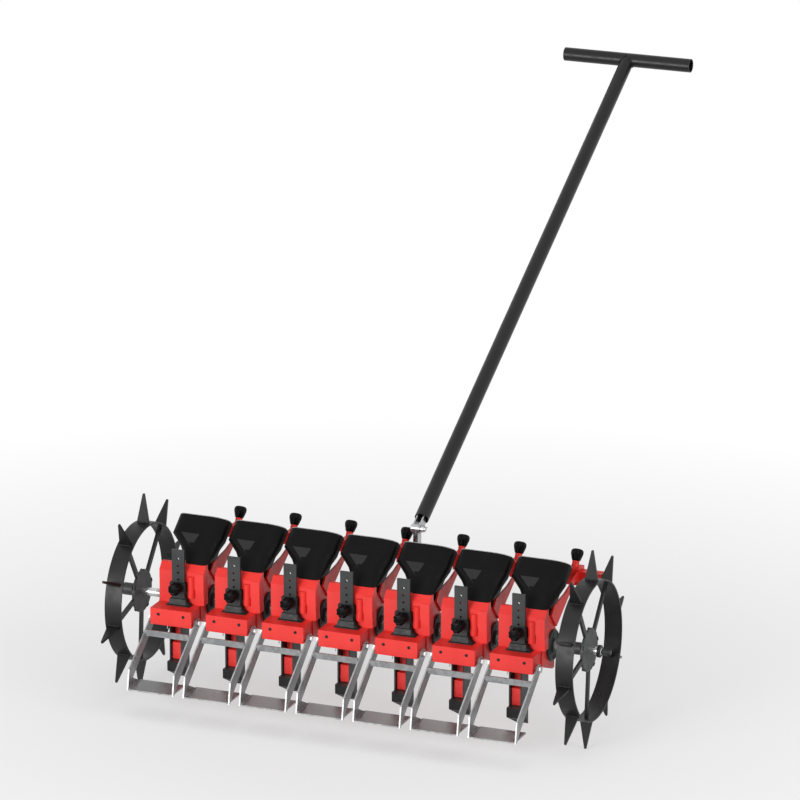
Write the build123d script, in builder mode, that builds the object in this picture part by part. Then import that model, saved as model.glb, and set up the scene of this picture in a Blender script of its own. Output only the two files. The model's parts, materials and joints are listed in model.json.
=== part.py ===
from build123d import *
from math import acos, atan2, cos, degrees, hypot, radians, sin
import os

os.makedirs("parts", exist_ok=True)

# Row layout. Millimetres, X along the row, Y towards the handle, Z up.
# Every piece is drawn with the axle's centre line as Y = Z = 0 and its row's middle as X = 0.
row_count = 7
row_pitch = 125.0
seat_gap = 0.3
run_gap = 0.05

# Axle and wheels
axle_radius = 9.0
wheel_left_x = -487.0
wheel_right_x = 503.0
rim_radius = 146.0
rim_width = 37.0
rim_sheet = 3.5
spike_count = 10
spike_tip_radius = 207.5
spike_base = 28.0
spike_tip = 3.5
spike_sheet = 5.0
spike_phase = 4.4
edge_chamfer = 1.0
spoke_count = 5
spoke_width = 10.0
spoke_sheet = 6.0
disc_radius = 45.0
disc_thickness = 5.0
barrel_radius = 13.0
barrel_length = 38.0
axle_left_tuck = 8.0
axle_stub_length = 20.0
rod_radius = 5.0
rod_length = 27.5
rod_groove = 1.0
rod_groove_radius = 4.5
collar_radius = 13.0
collar_bore = 6.0
collar_width = 6.5

# Seed rotor and its chamber
rotor_radius = 30.0
rotor_width = 35.0
rotor_gap = 0.5
rotor_end_gap = 1.0
cell_count = 24
cell_radius = 2.0
bush_radius = 12.0
bush_flange_radius = 15.0
bush_flange = 3.0

# Housing
wall = 3.0
body_left = -46.0
body_right = 48.0
face_y = -57.0
body_round = 36.0
belly_back = 15.0
belly_low = -52.0
belly_flat = 12.0
heel_y = -23.0
deck_top = 88.0
deck_right = 54.0
deck_back = -36.0
band_low = 73.5
band_back_y = -44.6
flange_depth = 21.0
panel_proud = 2.0
outlet_start_z = -2.0
outlet_start_y = -33.0
outlet_start_width = 30.0
outlet_start_depth = 12.0
cover_radius = 32.5
cover_sheet = 5.0
cover_round = 1.5
brush_low = 29.5
brush_high = 45.0
brush_depth = 7.0
brush_back = 4.0
brush_tip = 3.0
screw_head = 1.5
screw_length = 10.0
box_half = 46.0
box_front = -105.0
box_bottom = -30.0
box_top = 5.0
throat_front = -18.0
throat_back = 13.0
outlet_front = -56.0
outlet_back = -48.5
outlet_half = 8.0
bulge_x = 26.0
bulge_radius = 8.0
bulge_low = 20.0
bulge_high = 66.0
screw_spacing = 55.7
screw_z = -7.4
screw_radius = 2.0
screw_head_radius = 3.4

# Hopper
hopper_x = 10.0
hopper_half = 55.0
hopper_depth = 52.0
hopper_corner = 20.0
hopper_wall = 2.5
mouth_y = 60.8
mouth_z = 151.0
mouth_lean = 36.9
slope_rise = 35.9
hopper_straight = 47.0
neck_left = 3.0
neck_back = 23.0
neck_corner = 13.0
skirt_left = 2.0
skirt_right = 46.0
skirt_low = 20.0
lip = 1.5
lip_height = 4.0

# Depth bar, coulter channel and shoe
bar_half = 14.0
bar_sheet = 5.0
bar_top = 123.0
bar_holes = 5
bar_hole_radius = 2.5
bar_hole_step = 15.0
lower_settings = 3
lower_slack = 1.0
slide_gap = 0.4
guide_sheet = 3.0
guide_front_sheet = 4.0
strap_low = 34.0
strap_high = 53.0
foot_height = 13.0
foot_half = 20.0
foot_flare = 3.0
channel_top = -33.0
channel_front = -81.0
channel_back = -43.0
channel_sheet = 3.0
shoe_top = -112.0
shoe_nose = -94.0
shoe_low = -159.0
tube_half = 10.0
tube_front_top = -59.5
tube_front_low = -75.0
tube_back = -47.0
tube_sheet = 1.5
tube_step_z = -71.0
tube_low = -111.0
tube_step_rise = 4.0
flange_half = 16.0
flange_back = -44.0
flange_sheet = 2.6
shoe_face = 20.0
shoe_toe_y = -60.0

# Knobs
stud_radius = 4.0
depth_knob_radius = 13.5
depth_knob_length = 20.0
depth_knob_neck = 4.0
depth_knob_neck_radius = 8.0
knob_round = 1.5
clamp_knob_radius = 13.0
clamp_knob_low_radius = 9.4
clamp_knob_length = 25.0
clamp_knob_taper = 15.0
clamp_knob_lean = 26.0
clamp_knob_start = 18.0
stud_clear = 3.0
flute_count = 8
flute_radius = 3.0
flute_offset = 1.6

# Bar across the machine, arms and clamps
beam = 22.0
beam_wall = 2.0
beam_left = -383.0
beam_right = 474.0
beam_y = 159.0
beam_z = 99.0
plug_depth = 15.0
plug_head = 3.0
clamp_left = 26.0
clamp_wall = 6.0
clamp_slack = 0.5
clamp_boss_radius = 7.5
arm_sheet = 4.0

# Drag frame
pivot_y = -83.0
pivot_z = -25.0
pivot_radius = 4.0
pivot_ear = 9.0
pivot_head_radius = 7.0
pivot_head = 4.5
drag_sheet = 3.0
drag_gap = 3.0
arm_half_width = 11.0
knee_y = -200.0
knee_z = -107.0
pan_front = -213.0
pan_depth = 65.0
pan_bottom = -141.0
strip_y = -125.0
strip_z = -43.0
strip_height = 13.0

# Handle
handle_x = 65.5
hinge_y = 159.0
hinge_z = 155.6
grip_y = 1412.6
grip_z = 861.0
handle_radius = 15.0
handle_wall = 1.5
handle_start = 28.0
grip_length = 295.0
fork_gap = 11.0
fork_sheet = 3.0
fork_width = 20.0
fork_length = 62.0
bracket_width = 21.0
hinge_radius = 5.0
hinge_head = 4.0
hinge_head_radius = 8.0
nut_radius = 7.5
nut_length = 8.0
bolt_end = 2.0
wing_root = 6.0
wing_start = 1.0
wing_reach = 14.0
wing_flare = 4.0
wing_tip = 6.0
wing_sheet = 3.0

# Places that follow from the sizes
row_x = [(row - (row_count - 1) / 2) * row_pitch for row in range(row_count)]
beam_bore = beam - 2 * beam_wall
chamber_right = body_right - wall
tangent = atan2(deck_top, deck_back) - acos(body_round / hypot(deck_back, deck_top))
back_plane = Plane(
    origin=(0, deck_back, deck_top), x_dir=(1, 0, 0), z_dir=(0, cos(tangent), sin(tangent))
)
rotor_left = chamber_right - rotor_end_gap - rotor_width
rotor_middle = rotor_left + rotor_width / 2
chamber_left = rotor_left - rotor_end_gap
chamber_radius = rotor_radius + rotor_gap
guide_back_y = face_y - guide_sheet
neck_width = deck_right - neck_left
neck_depth = neck_back - band_back_y
bar_back_y = guide_back_y - slide_gap
bar_front_y = bar_back_y - bar_sheet
strap_inner_y = bar_front_y - slide_gap
strap_front_y = strap_inner_y - guide_front_sheet
foot_front_y = strap_front_y - foot_flare
strap_half = bar_half + slide_gap + guide_sheet
depth_knob_z = (strap_low + strap_high) / 2
bar_fork_top = tube_step_z + lower_settings * bar_hole_step + lower_slack
clamp_right = body_right
clamp_boss_end = clamp_knob_start - seat_gap
drag_inner_half = box_half + drag_gap
lean = radians(clamp_knob_lean)
clamp_axis = Vector(0, sin(lean), cos(lean))
clamp_foot = Vector((clamp_left + clamp_right) / 2, beam_y, beam_z + beam / 2)
axle_left_end = wheel_left_x - disc_thickness / 2 - barrel_length + axle_left_tuck
axle_right_shoulder = wheel_right_x + axle_stub_length
axle_right_end = axle_right_shoulder + rod_length
handle_length = hypot(grip_y - hinge_y, grip_z - hinge_z)
handle_angle = degrees(atan2(grip_z - hinge_z, grip_y - hinge_y))
handle_dir = Vector(0, cos(radians(handle_angle)), sin(radians(handle_angle)))
hinge_point = Vector(handle_x, hinge_y, hinge_z)
fork_left = handle_x - fork_gap / 2 - fork_sheet
fork_right = handle_x + fork_gap / 2 + fork_sheet
wing_end = fork_right + seat_gap + nut_length + wing_flare - wing_tip

# The front panel's outline in X and Z, the arm's and the drag plate's in Y and Z
panel_outline = [
    (35, band_low),
    (deck_right, band_low),
    (deck_right, 27),
    (40, 27),
    (31, 45),
]
arm_outline = [(-13, 66), (1, 83), (66, 90), (beam_y, 116), (beam_y, 88), (120, 97), (16, 35)]
drag_outline = [
    (pivot_y - 6, pivot_z + arm_half_width - 2),
    (pivot_y + 6, pivot_z - arm_half_width + 2),
    (knee_y + 12, knee_z - 14),
    (pan_front + pan_depth, pan_bottom),
    (pan_front, pan_bottom),
    (knee_y - 5, knee_z + 9),
]

# The frame's origin: on the ground, in the middle of the footprint
machine_left = wheel_left_x - disc_thickness / 2 - barrel_length
machine_back = grip_y + handle_radius
phase = radians(spike_phase)
axle_height = spike_tip_radius * cos(phase) + spike_sheet / 2 * sin(phase)
origin = Vector(
    -(machine_left + axle_right_end) / 2,
    -(pan_front + machine_back) / 2,
    axle_height,
)


def write(piece, name, places=(0.0,)):
    """Puts a piece, or one copy at each place along the row, in the machine's frame."""
    with BuildPart() as placed:
        with Locations([origin + Vector(x, 0, 0) for x in places]):
            add(piece)
    placed.part.label = name
    export_step(placed.part, f"parts/{name}.step")


def write_each(piece, name):
    """Writes one node for each row of the machine, numbered from the left."""
    for number, x in enumerate(row_x, 1):
        write(piece, f"{name}_{number}", [x])


# Bar across the machine, a square tube with a plug in each end
with BuildPart() as crossbar:
    with BuildSketch(Plane.YZ.offset(beam_left)):
        with Locations((beam_y, beam_z)):
            Rectangle(beam, beam)
            Rectangle(beam_bore, beam_bore, mode=Mode.SUBTRACT)
    extrude(amount=beam_right - beam_left)
write(crossbar.part, "rear_bar")

with BuildPart() as plugs:
    for end, inward in ((beam_left, 1), (beam_right, -1)):
        with BuildSketch(Plane.YZ.offset(end)):
            with Locations((beam_y, beam_z)):
                Rectangle(beam, beam)
        extrude(amount=-inward * plug_head)
        with BuildSketch(Plane.YZ.offset(end)):
            with Locations((beam_y, beam_z)):
                Rectangle(beam_bore, beam_bore)
        extrude(amount=inward * plug_depth)
write(plugs.part, "bar_plugs")

# Housing: body around the rotor with a sloping band, front box, chamber, throat and outlet
body_outline = [
    (face_y, box_bottom),
    (face_y, band_low),
    (band_back_y, deck_top),
    (deck_back, deck_top),
    (body_round * cos(tangent), body_round * sin(tangent)),
    (belly_back, 0),
    (belly_back, belly_low),
    (belly_back - belly_flat, belly_low),
    (heel_y, box_bottom),
]
with BuildPart() as housing:
    with BuildSketch(Plane.YZ.offset(body_left)):
        with BuildLine():
            Polyline(*body_outline, close=True)
        make_face()
        Circle(body_round)
    extrude(amount=body_right - body_left)
    with BuildSketch(Plane.YZ.offset(body_left + wall)):
        with BuildLine():
            Polyline(*body_outline, close=True)
        make_face()
        offset(amount=-wall, kind=Kind.INTERSECTION, mode=Mode.REPLACE)
        Circle(body_round - wall)
    extrude(amount=body_right - body_left - 2 * wall, mode=Mode.SUBTRACT)
    # Front box, open below
    with BuildSketch(Plane.XY.offset(box_bottom)):
        with Locations((0, (box_front + face_y) / 2)):
            Rectangle(2 * box_half, face_y - box_front)
    extrude(amount=box_top - box_bottom)
    with BuildSketch(Plane.XY.offset(box_bottom)):
        with Locations((0, (box_front + wall + face_y) / 2)):
            Rectangle(2 * (box_half - wall), face_y - box_front - wall)
    extrude(amount=box_top - wall - box_bottom, mode=Mode.SUBTRACT)
    # Flange that widens the front, the sloping band and the deck on the right
    with BuildSketch(Plane.YZ.offset(body_right)):
        with BuildLine():
            Polyline(
                (face_y, box_top),
                (face_y, band_low),
                (band_back_y, deck_top),
                (face_y + flange_depth, deck_top),
                (face_y + flange_depth, box_top),
                close=True,
            )
        make_face()
    extrude(amount=deck_right - body_right)
    # Half-round bulge and flat panel on the front face
    with BuildSketch(Plane.XY.offset(bulge_low)):
        with Locations((bulge_x, face_y)):
            Circle(bulge_radius)
            with Locations((0, bulge_radius)):
                Rectangle(2 * bulge_radius, 2 * bulge_radius, mode=Mode.SUBTRACT)
    extrude(amount=bulge_high - bulge_low)
    with BuildSketch(Plane.XZ.offset(-face_y)):
        with BuildLine():
            Polyline(*panel_outline, close=True)
        make_face()
    extrude(amount=panel_proud)
    # Rotor chamber, throat from the deck and sloped outlet
    with BuildSketch(Plane.YZ.offset(chamber_left - wall)):
        Circle(chamber_radius + wall)
    extrude(amount=chamber_right - chamber_left + wall)
    with BuildSketch(Plane.YZ.offset(chamber_left - wall)):
        with BuildLine():
            Polyline(*body_outline, close=True)
        make_face()
        with Locations(((throat_front + throat_back) / 2, deck_top / 2)):
            Rectangle(throat_back - throat_front + 2 * wall, deck_top, mode=Mode.INTERSECT)
    extrude(amount=chamber_right - chamber_left + 2 * wall)
    with BuildSketch(Plane.XY.offset(outlet_start_z)):
        with Locations((rotor_middle, outlet_start_y)):
            Rectangle(outlet_start_width + 2 * tube_sheet, outlet_start_depth + 2 * tube_sheet)
    with BuildSketch(Plane.XY.offset(box_bottom)):
        with Locations((0, (outlet_front + outlet_back) / 2)):
            Rectangle(2 * (outlet_half + tube_sheet), outlet_back - outlet_front + 2 * tube_sheet)
    loft()
    with BuildSketch(Plane.YZ.offset(chamber_left)):
        Circle(chamber_radius)
    extrude(amount=body_right - chamber_left, mode=Mode.SUBTRACT)
    with BuildSketch(Plane.XY):
        with Locations(((chamber_left + chamber_right) / 2, (throat_front + throat_back) / 2)):
            Rectangle(chamber_right - chamber_left, throat_back - throat_front)
    extrude(amount=deck_top, mode=Mode.SUBTRACT)
    with BuildSketch(Plane.XY.offset(outlet_start_z)):
        with Locations((rotor_middle, outlet_start_y)):
            Rectangle(outlet_start_width, outlet_start_depth)
    with BuildSketch(Plane.XY.offset(box_bottom)):
        with Locations((0, (outlet_front + outlet_back) / 2)):
            Rectangle(2 * outlet_half, outlet_back - outlet_front)
    loft(mode=Mode.SUBTRACT)
    # Holes: bush, axle, depth bar slot, box screws and drag pivots in their ears
    with BuildSketch(Plane.YZ.offset(body_left)):
        Circle(bush_radius)
    extrude(amount=wall, mode=Mode.SUBTRACT)
    with BuildSketch(Plane.YZ.offset(chamber_left - wall)):
        Circle(axle_radius + rotor_gap)
    extrude(amount=wall, mode=Mode.SUBTRACT)
    with BuildSketch(Plane.XY.offset(box_top - wall)):
        with Locations((0, (strap_inner_y + guide_back_y) / 2)):
            Rectangle(2 * (bar_half + slide_gap), guide_back_y - strap_inner_y)
    extrude(amount=wall, mode=Mode.SUBTRACT)
    with BuildSketch(Plane.XZ.offset(-box_front)):
        with Locations((screw_spacing / 2, screw_z), (-screw_spacing / 2, screw_z)):
            Circle(screw_radius)
    extrude(amount=-wall, mode=Mode.SUBTRACT)
    for side in (-1, 1):
        with BuildSketch(Plane.YZ.offset(side * box_half)):
            with Locations((pivot_y, pivot_z)):
                Circle(pivot_ear)
        extrude(amount=-side * wall)
        with BuildSketch(Plane.YZ.offset(side * box_half)):
            with Locations((pivot_y, pivot_z)):
                Circle(pivot_radius)
        extrude(amount=-side * wall, mode=Mode.SUBTRACT)
write_each(housing.part, "housing")

# Hopper: straight mouth section on a slope, then a taper to the neck on the deck
mouth_plane = Plane(
    origin=(hopper_x, mouth_y, mouth_z),
    x_dir=(1, 0, 0),
    z_dir=(0, sin(radians(mouth_lean)), cos(radians(mouth_lean))),
)
slope = Vector(0, cos(radians(slope_rise)), sin(radians(slope_rise)))
shoulder_plane = Plane(
    origin=mouth_plane.origin - slope * hopper_straight,
    x_dir=mouth_plane.x_dir,
    z_dir=mouth_plane.z_dir,
)
lip_plane = Plane(
    origin=mouth_plane.origin - slope * lip_height,
    x_dir=mouth_plane.x_dir,
    z_dir=mouth_plane.z_dir,
)
above_plane = Plane(
    origin=mouth_plane.origin + slope * lip_height,
    x_dir=mouth_plane.x_dir,
    z_dir=mouth_plane.z_dir,
)


def hopper_section(plane, inset):
    """A rounded rectangle across the hopper, drawn in from the outer wall by inset."""
    with BuildSketch(plane) as section:
        RectangleRounded(
            2 * (hopper_half - inset), hopper_depth - 2 * inset, hopper_corner - inset
        )
    return section


def neck_section(inset, above):
    """The hopper's foot, at a height above the deck."""
    with BuildSketch(Plane.XY.offset(deck_top + above)) as section:
        with Locations((neck_left + neck_width / 2, neck_back - neck_depth / 2)):
            RectangleRounded(
                neck_width - 2 * inset, neck_depth - 2 * inset, neck_corner - inset
            )
    return section


with BuildPart() as hopper:
    # Skirt that reaches down to the housing's sloping back
    with BuildSketch(Plane.XY.offset(deck_top)):
        with Locations(((skirt_left + skirt_right) / 2, (deck_back + neck_back) / 2)):
            Rectangle(skirt_right - skirt_left, neck_back - deck_back)
    extrude(amount=skirt_low - deck_top)
    split(bisect_by=back_plane, keep=Keep.TOP)
    loft([hopper_section(mouth_plane, 0).sketch.face(), hopper_section(shoulder_plane, 0).sketch.face()])
    loft([hopper_section(shoulder_plane, 0).sketch.face(), neck_section(0, 0).sketch.face()])
    loft([hopper_section(mouth_plane, -lip).sketch.face(), hopper_section(lip_plane, -lip).sketch.face()])
    loft(
        [
            hopper_section(above_plane, hopper_wall).sketch.face(),
            hopper_section(shoulder_plane, hopper_wall).sketch.face(),
        ],
        mode=Mode.SUBTRACT,
    )
    loft(
        [
            hopper_section(shoulder_plane, hopper_wall).sketch.face(),
            neck_section(hopper_wall, hopper_wall).sketch.face(),
        ],
        mode=Mode.SUBTRACT,
    )
    with BuildSketch(Plane.XY.offset(deck_top + hopper_wall)):
        with Locations(((skirt_left + skirt_right) / 2, (deck_back + neck_back) / 2)):
            Rectangle(
                skirt_right - skirt_left - 2 * hopper_wall, neck_back - deck_back - 2 * hopper_wall
            )
    extrude(amount=skirt_low - deck_top - hopper_wall, mode=Mode.SUBTRACT)
write(hopper.part, "hoppers", row_x)

# Round side cover that closes the rotor chamber
with BuildPart() as cover:
    with BuildSketch(Plane.YZ.offset(body_right)):
        Circle(cover_radius)
        Circle(bush_radius, mode=Mode.SUBTRACT)
    extrude(amount=cover_sheet)
    fillet(cover.edges().group_by(Axis.X)[-1].sort_by(SortBy.LENGTH)[-1], cover_round)
    with BuildSketch(Plane.YZ.offset(chamber_right)):
        Circle(chamber_radius - run_gap)
        Circle(bush_radius, mode=Mode.SUBTRACT)
    extrude(amount=body_right - chamber_right)
write(cover.part, "rotor_covers", row_x)

# Flanged bushes in the left wall and in the side cover
with BuildPart() as bushes:
    for face, inward, depth in (
        (body_left, 1, wall),
        (body_right + cover_sheet, -1, cover_sheet + wall),
    ):
        with BuildSketch(Plane.YZ.offset(face)):
            Circle(bush_flange_radius)
            Circle(axle_radius + run_gap, mode=Mode.SUBTRACT)
        extrude(amount=-inward * bush_flange)
        with BuildSketch(Plane.YZ.offset(face)):
            Circle(bush_radius)
            Circle(axle_radius + run_gap, mode=Mode.SUBTRACT)
        extrude(amount=inward * depth)
write(bushes.part, "axle_bushes", row_x)

# Wiper brush held on the throat's front wall, over the rotor
with BuildPart() as brush:
    with BuildSketch(Plane.YZ.offset(chamber_left + rotor_end_gap)):
        with BuildLine():
            Polyline(
                (throat_front, brush_low + brush_back),
                (throat_front, brush_high),
                (throat_front + brush_back, brush_high),
                (throat_front + brush_depth, brush_low),
                (throat_front + brush_depth - brush_tip, brush_low),
                close=True,
            )
        make_face()
    extrude(amount=rotor_width)
write(brush.part, "wiper_brushes", row_x)

# Guide of the depth bar: back plate, strap with the knob's thread, flared foot on the box
with BuildPart() as guide:
    with BuildSketch(Plane.XY.offset(box_top)):
        with Locations((0, (guide_back_y + face_y) / 2)):
            Rectangle(2 * strap_half, guide_sheet)
    extrude(amount=strap_high - box_top)
    with BuildSketch(Plane.XY.offset(strap_low)):
        with Locations((0, (strap_front_y + face_y) / 2)):
            Rectangle(2 * strap_half, face_y - strap_front_y)
        with Locations((0, (strap_inner_y + face_y) / 2)):
            Rectangle(2 * (bar_half + slide_gap), face_y - strap_inner_y, mode=Mode.SUBTRACT)
    extrude(amount=strap_high - strap_low)
    with BuildSketch(Plane.XY.offset(box_top)):
        with Locations((0, (foot_front_y + face_y) / 2)):
            Rectangle(2 * foot_half, face_y - foot_front_y)
    with BuildSketch(Plane.XY.offset(box_top + foot_height)):
        with Locations((0, (strap_front_y + face_y) / 2)):
            Rectangle(2 * strap_half, face_y - strap_front_y)
    loft()
    with BuildSketch(Plane.XY.offset(box_top)):
        with Locations((0, (strap_inner_y + guide_back_y) / 2)):
            Rectangle(2 * (bar_half + slide_gap), guide_back_y - strap_inner_y)
    extrude(amount=strap_high - box_top, mode=Mode.SUBTRACT)
    with BuildSketch(Plane.XZ.offset(-strap_inner_y)):
        with Locations((0, depth_knob_z)):
            Circle(stud_radius + run_gap)
    extrude(amount=guide_front_sheet, mode=Mode.SUBTRACT)
write(guide.part, "depth_guides", row_x)

# Box screws
with BuildPart() as screws:
    with BuildSketch(Plane.XZ.offset(-box_front)):
        with Locations((screw_spacing / 2, screw_z), (-screw_spacing / 2, screw_z)):
            Circle(screw_head_radius)
    extrude(amount=screw_head)
    with BuildSketch(Plane.XZ.offset(-box_front)):
        with Locations((screw_spacing / 2, screw_z), (-screw_spacing / 2, screw_z)):
            Circle(screw_radius)
    extrude(amount=-screw_length)
write(screws.part, "box_screws", row_x)

# Seed tube that hangs under the outlet, inside the coulter channel
with BuildPart() as tube:
    with BuildSketch(Plane.YZ.offset(-tube_half)):
        with BuildLine():
            Polyline(
                (tube_front_top, box_bottom),
                (tube_front_top, tube_step_z),
                (tube_front_low, tube_step_z - tube_step_rise),
                (tube_front_low, tube_low),
                (tube_back, tube_low),
                (tube_back, box_bottom),
                close=True,
            )
        make_face()
    extrude(amount=2 * tube_half)
    with BuildSketch(Plane.XY.offset(box_bottom)):
        with Locations((0, (tube_front_top + flange_back) / 2)):
            Rectangle(2 * flange_half, flange_back - tube_front_top)
    extrude(amount=-flange_sheet)
    with BuildSketch(Plane.YZ.offset(-tube_half + tube_sheet)):
        with BuildLine():
            Polyline(
                (tube_front_top + tube_sheet, box_bottom),
                (tube_front_top + tube_sheet, tube_step_z - tube_sheet),
                (tube_front_low + tube_sheet, tube_step_z - tube_step_rise - tube_sheet),
                (tube_front_low + tube_sheet, tube_low),
                (tube_back - tube_sheet, tube_low),
                (tube_back - tube_sheet, box_bottom),
                close=True,
            )
        make_face()
    extrude(amount=2 * (tube_half - tube_sheet), mode=Mode.SUBTRACT)
write(tube.part, "seed_tubes", row_x)

# Depth bar forked over the seed tube, coulter channel and shoe, one welded piece that slides
with BuildPart() as coulter:
    with BuildSketch(Plane.XZ.offset(-bar_back_y)):
        with Locations((0, (bar_top + channel_top) / 2)):
            Rectangle(2 * bar_half, bar_top - channel_top)
        with Locations((0, (bar_fork_top + channel_top) / 2)):
            Rectangle(
                2 * (bar_half - channel_sheet), bar_fork_top - channel_top, mode=Mode.SUBTRACT
            )
        with Locations([(0, depth_knob_z + hole * bar_hole_step) for hole in range(bar_holes)]):
            Circle(bar_hole_radius, mode=Mode.SUBTRACT)
    extrude(amount=bar_sheet)
    with BuildSketch(Plane.XY.offset(channel_top)):
        with Locations((0, (channel_front + channel_back) / 2)):
            Rectangle(2 * bar_half, channel_back - channel_front)
        with Locations((0, (channel_front + channel_back) / 2 - channel_sheet / 2)):
            Rectangle(
                2 * (bar_half - channel_sheet),
                channel_back - channel_front - channel_sheet,
                mode=Mode.SUBTRACT,
            )
    extrude(amount=shoe_top - channel_top)
    with BuildSketch(Plane.YZ.offset(-bar_half)):
        with BuildLine():
            Polyline(
                (channel_back, shoe_top),
                (shoe_nose, shoe_top),
                (shoe_nose, shoe_top - shoe_face),
                (shoe_toe_y, shoe_low),
                (channel_back, shoe_low),
                close=True,
            )
        make_face()
    extrude(amount=2 * bar_half)
    with BuildSketch(Plane.XY.offset(shoe_top)):
        with Locations((0, (tube_front_low + tube_back) / 2)):
            Rectangle(2 * (tube_half - tube_sheet), tube_back - tube_front_low - 2 * tube_sheet)
    extrude(amount=shoe_low - shoe_top, mode=Mode.SUBTRACT)
write_each(coulter.part, "coulter")

# Depth knob: a fluted head and a stud through the strap
with BuildPart() as depth_knob:
    with BuildSketch(Plane.XZ.offset(-strap_inner_y)):
        with Locations((0, depth_knob_z)):
            Circle(stud_radius)
    extrude(amount=guide_front_sheet + depth_knob_neck)
    with BuildSketch(Plane.XZ.offset(-(strap_front_y - seat_gap))):
        with Locations((0, depth_knob_z)):
            Circle(depth_knob_neck_radius)
    extrude(amount=depth_knob_neck)
    with BuildSketch(Plane.XZ.offset(-(strap_front_y - depth_knob_neck))):
        with Locations((0, depth_knob_z)):
            Circle(depth_knob_radius)
            with PolarLocations(depth_knob_radius + flute_offset, flute_count):
                Circle(flute_radius, mode=Mode.SUBTRACT)
    extrude(amount=depth_knob_length)
    fillet(depth_knob.edges().group_by(Axis.Y)[0], knob_round)
write_each(depth_knob.part, "depth_knob")

# Clamp around the bar with a leaning threaded boss
with BuildPart() as clamp:
    with BuildSketch(Plane.YZ.offset(clamp_left)):
        with Locations((beam_y, beam_z)):
            Rectangle(beam + 2 * clamp_wall, beam + 2 * clamp_wall)
    extrude(amount=clamp_right - clamp_left)
    with BuildSketch(Plane(origin=clamp_foot, z_dir=clamp_axis)):
        Circle(clamp_boss_radius)
    extrude(amount=clamp_boss_end)
    with BuildSketch(Plane.YZ.offset(clamp_left)):
        with Locations((beam_y, beam_z + clamp_slack / 2)):
            Rectangle(beam + 2 * clamp_slack, beam + clamp_slack)
    extrude(amount=clamp_right - clamp_left, mode=Mode.SUBTRACT)
    with BuildSketch(Plane(origin=clamp_foot, z_dir=clamp_axis)):
        Circle(stud_radius + run_gap)
    extrude(amount=clamp_boss_end, mode=Mode.SUBTRACT)
write(clamp.part, "clamp_saddles", row_x)

# Side arm: a plate from the housing's side wall up to the clamp, with the bar through its end
with BuildPart() as arm:
    with BuildSketch(Plane.YZ.offset(body_right)):
        with BuildLine():
            Polyline(*arm_outline, close=True)
        make_face()
        with Locations((beam_y, beam_z)):
            Rectangle(beam + 2 * clamp_wall, beam + 2 * clamp_wall)
            Rectangle(beam + 2 * clamp_slack, beam + 2 * clamp_slack, mode=Mode.SUBTRACT)
    extrude(amount=arm_sheet)
write(arm.part, "side_arms", row_x)

# Clamp knob: stud through the boss and a domed fluted head
with BuildPart() as clamp_knob:
    with BuildSketch(Plane(origin=clamp_foot, z_dir=clamp_axis).offset(stud_clear)):
        Circle(stud_radius)
    extrude(amount=clamp_knob_start - stud_clear)
    with BuildSketch(Plane(origin=clamp_foot, z_dir=clamp_axis).offset(clamp_knob_start)):
        Circle(clamp_knob_low_radius)
    with BuildSketch(
        Plane(origin=clamp_foot, z_dir=clamp_axis).offset(clamp_knob_start + clamp_knob_taper)
    ):
        Circle(clamp_knob_radius)
    loft()
    with BuildSketch(
        Plane(origin=clamp_foot, z_dir=clamp_axis).offset(clamp_knob_start + clamp_knob_taper)
    ):
        Circle(clamp_knob_radius)
    extrude(amount=clamp_knob_length - clamp_knob_taper)
write_each(clamp_knob.part, "clamp_knob")

# Drag frame: two bent side plates, a cross strip and a flat pan
with BuildPart() as drag:
    for side in (-1, 1):
        with BuildSketch(Plane.YZ.offset(side * drag_inner_half)):
            with BuildLine():
                Polyline(*drag_outline, close=True)
            make_face()
            with Locations((pivot_y, pivot_z)):
                Circle(arm_half_width)
                Circle(pivot_radius + run_gap, mode=Mode.SUBTRACT)
        extrude(amount=side * drag_sheet)
    with BuildSketch(Plane.XZ.offset(-(strip_y - drag_sheet / 2))):
        with Locations((0, strip_z)):
            Rectangle(2 * drag_inner_half, strip_height)
    extrude(amount=-drag_sheet)
    with BuildSketch(Plane.XY.offset(pan_bottom)):
        with Locations((0, pan_front + pan_depth / 2)):
            Rectangle(2 * drag_inner_half, pan_depth)
    extrude(amount=drag_sheet)
write_each(drag.part, "drag_frame")

# Shoulder bolts that the drag frames swing on, fixed in the box's ears
with BuildPart() as bolts:
    for side in (-1, 1):
        with BuildSketch(Plane.YZ.offset(side * box_half)):
            with Locations((pivot_y, pivot_z)):
                Circle(pivot_head_radius)
        extrude(amount=side * (drag_inner_half - seat_gap - box_half))
        with BuildSketch(Plane.YZ.offset(side * (box_half - wall))):
            with Locations((pivot_y, pivot_z)):
                Circle(pivot_radius)
        extrude(amount=side * (drag_inner_half + drag_sheet + seat_gap - box_half + wall))
        with BuildSketch(Plane.YZ.offset(side * (drag_inner_half + drag_sheet + seat_gap))):
            with Locations((pivot_y, pivot_z)):
                RegularPolygon(pivot_head_radius, 6)
        extrude(amount=side * pivot_head)
write(bolts.part, "drag_pivots", row_x)

# Axle through the whole machine, turned down to the collar's seat and the bare rod
with BuildPart() as axle:
    with BuildSketch(Plane.YZ.offset(axle_left_end)):
        Circle(axle_radius)
    extrude(amount=axle_right_shoulder - axle_left_end)
    with BuildSketch(Plane.YZ.offset(axle_right_shoulder)):
        Circle(rod_radius)
    extrude(amount=rod_length)
    with BuildSketch(Plane.YZ.offset(axle_right_shoulder)):
        Circle(collar_bore)
    extrude(amount=collar_width)
    with BuildSketch(Plane.YZ.offset(axle_right_shoulder + collar_width)):
        Circle(rod_radius)
        Circle(rod_groove_radius, mode=Mode.SUBTRACT)
    extrude(amount=rod_groove, mode=Mode.SUBTRACT)
    chamfer(axle.edges().filter_by(GeomType.CIRCLE).sort_by(Axis.X)[-1], edge_chamfer)
write(axle.part, "axle_shaft")

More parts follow.
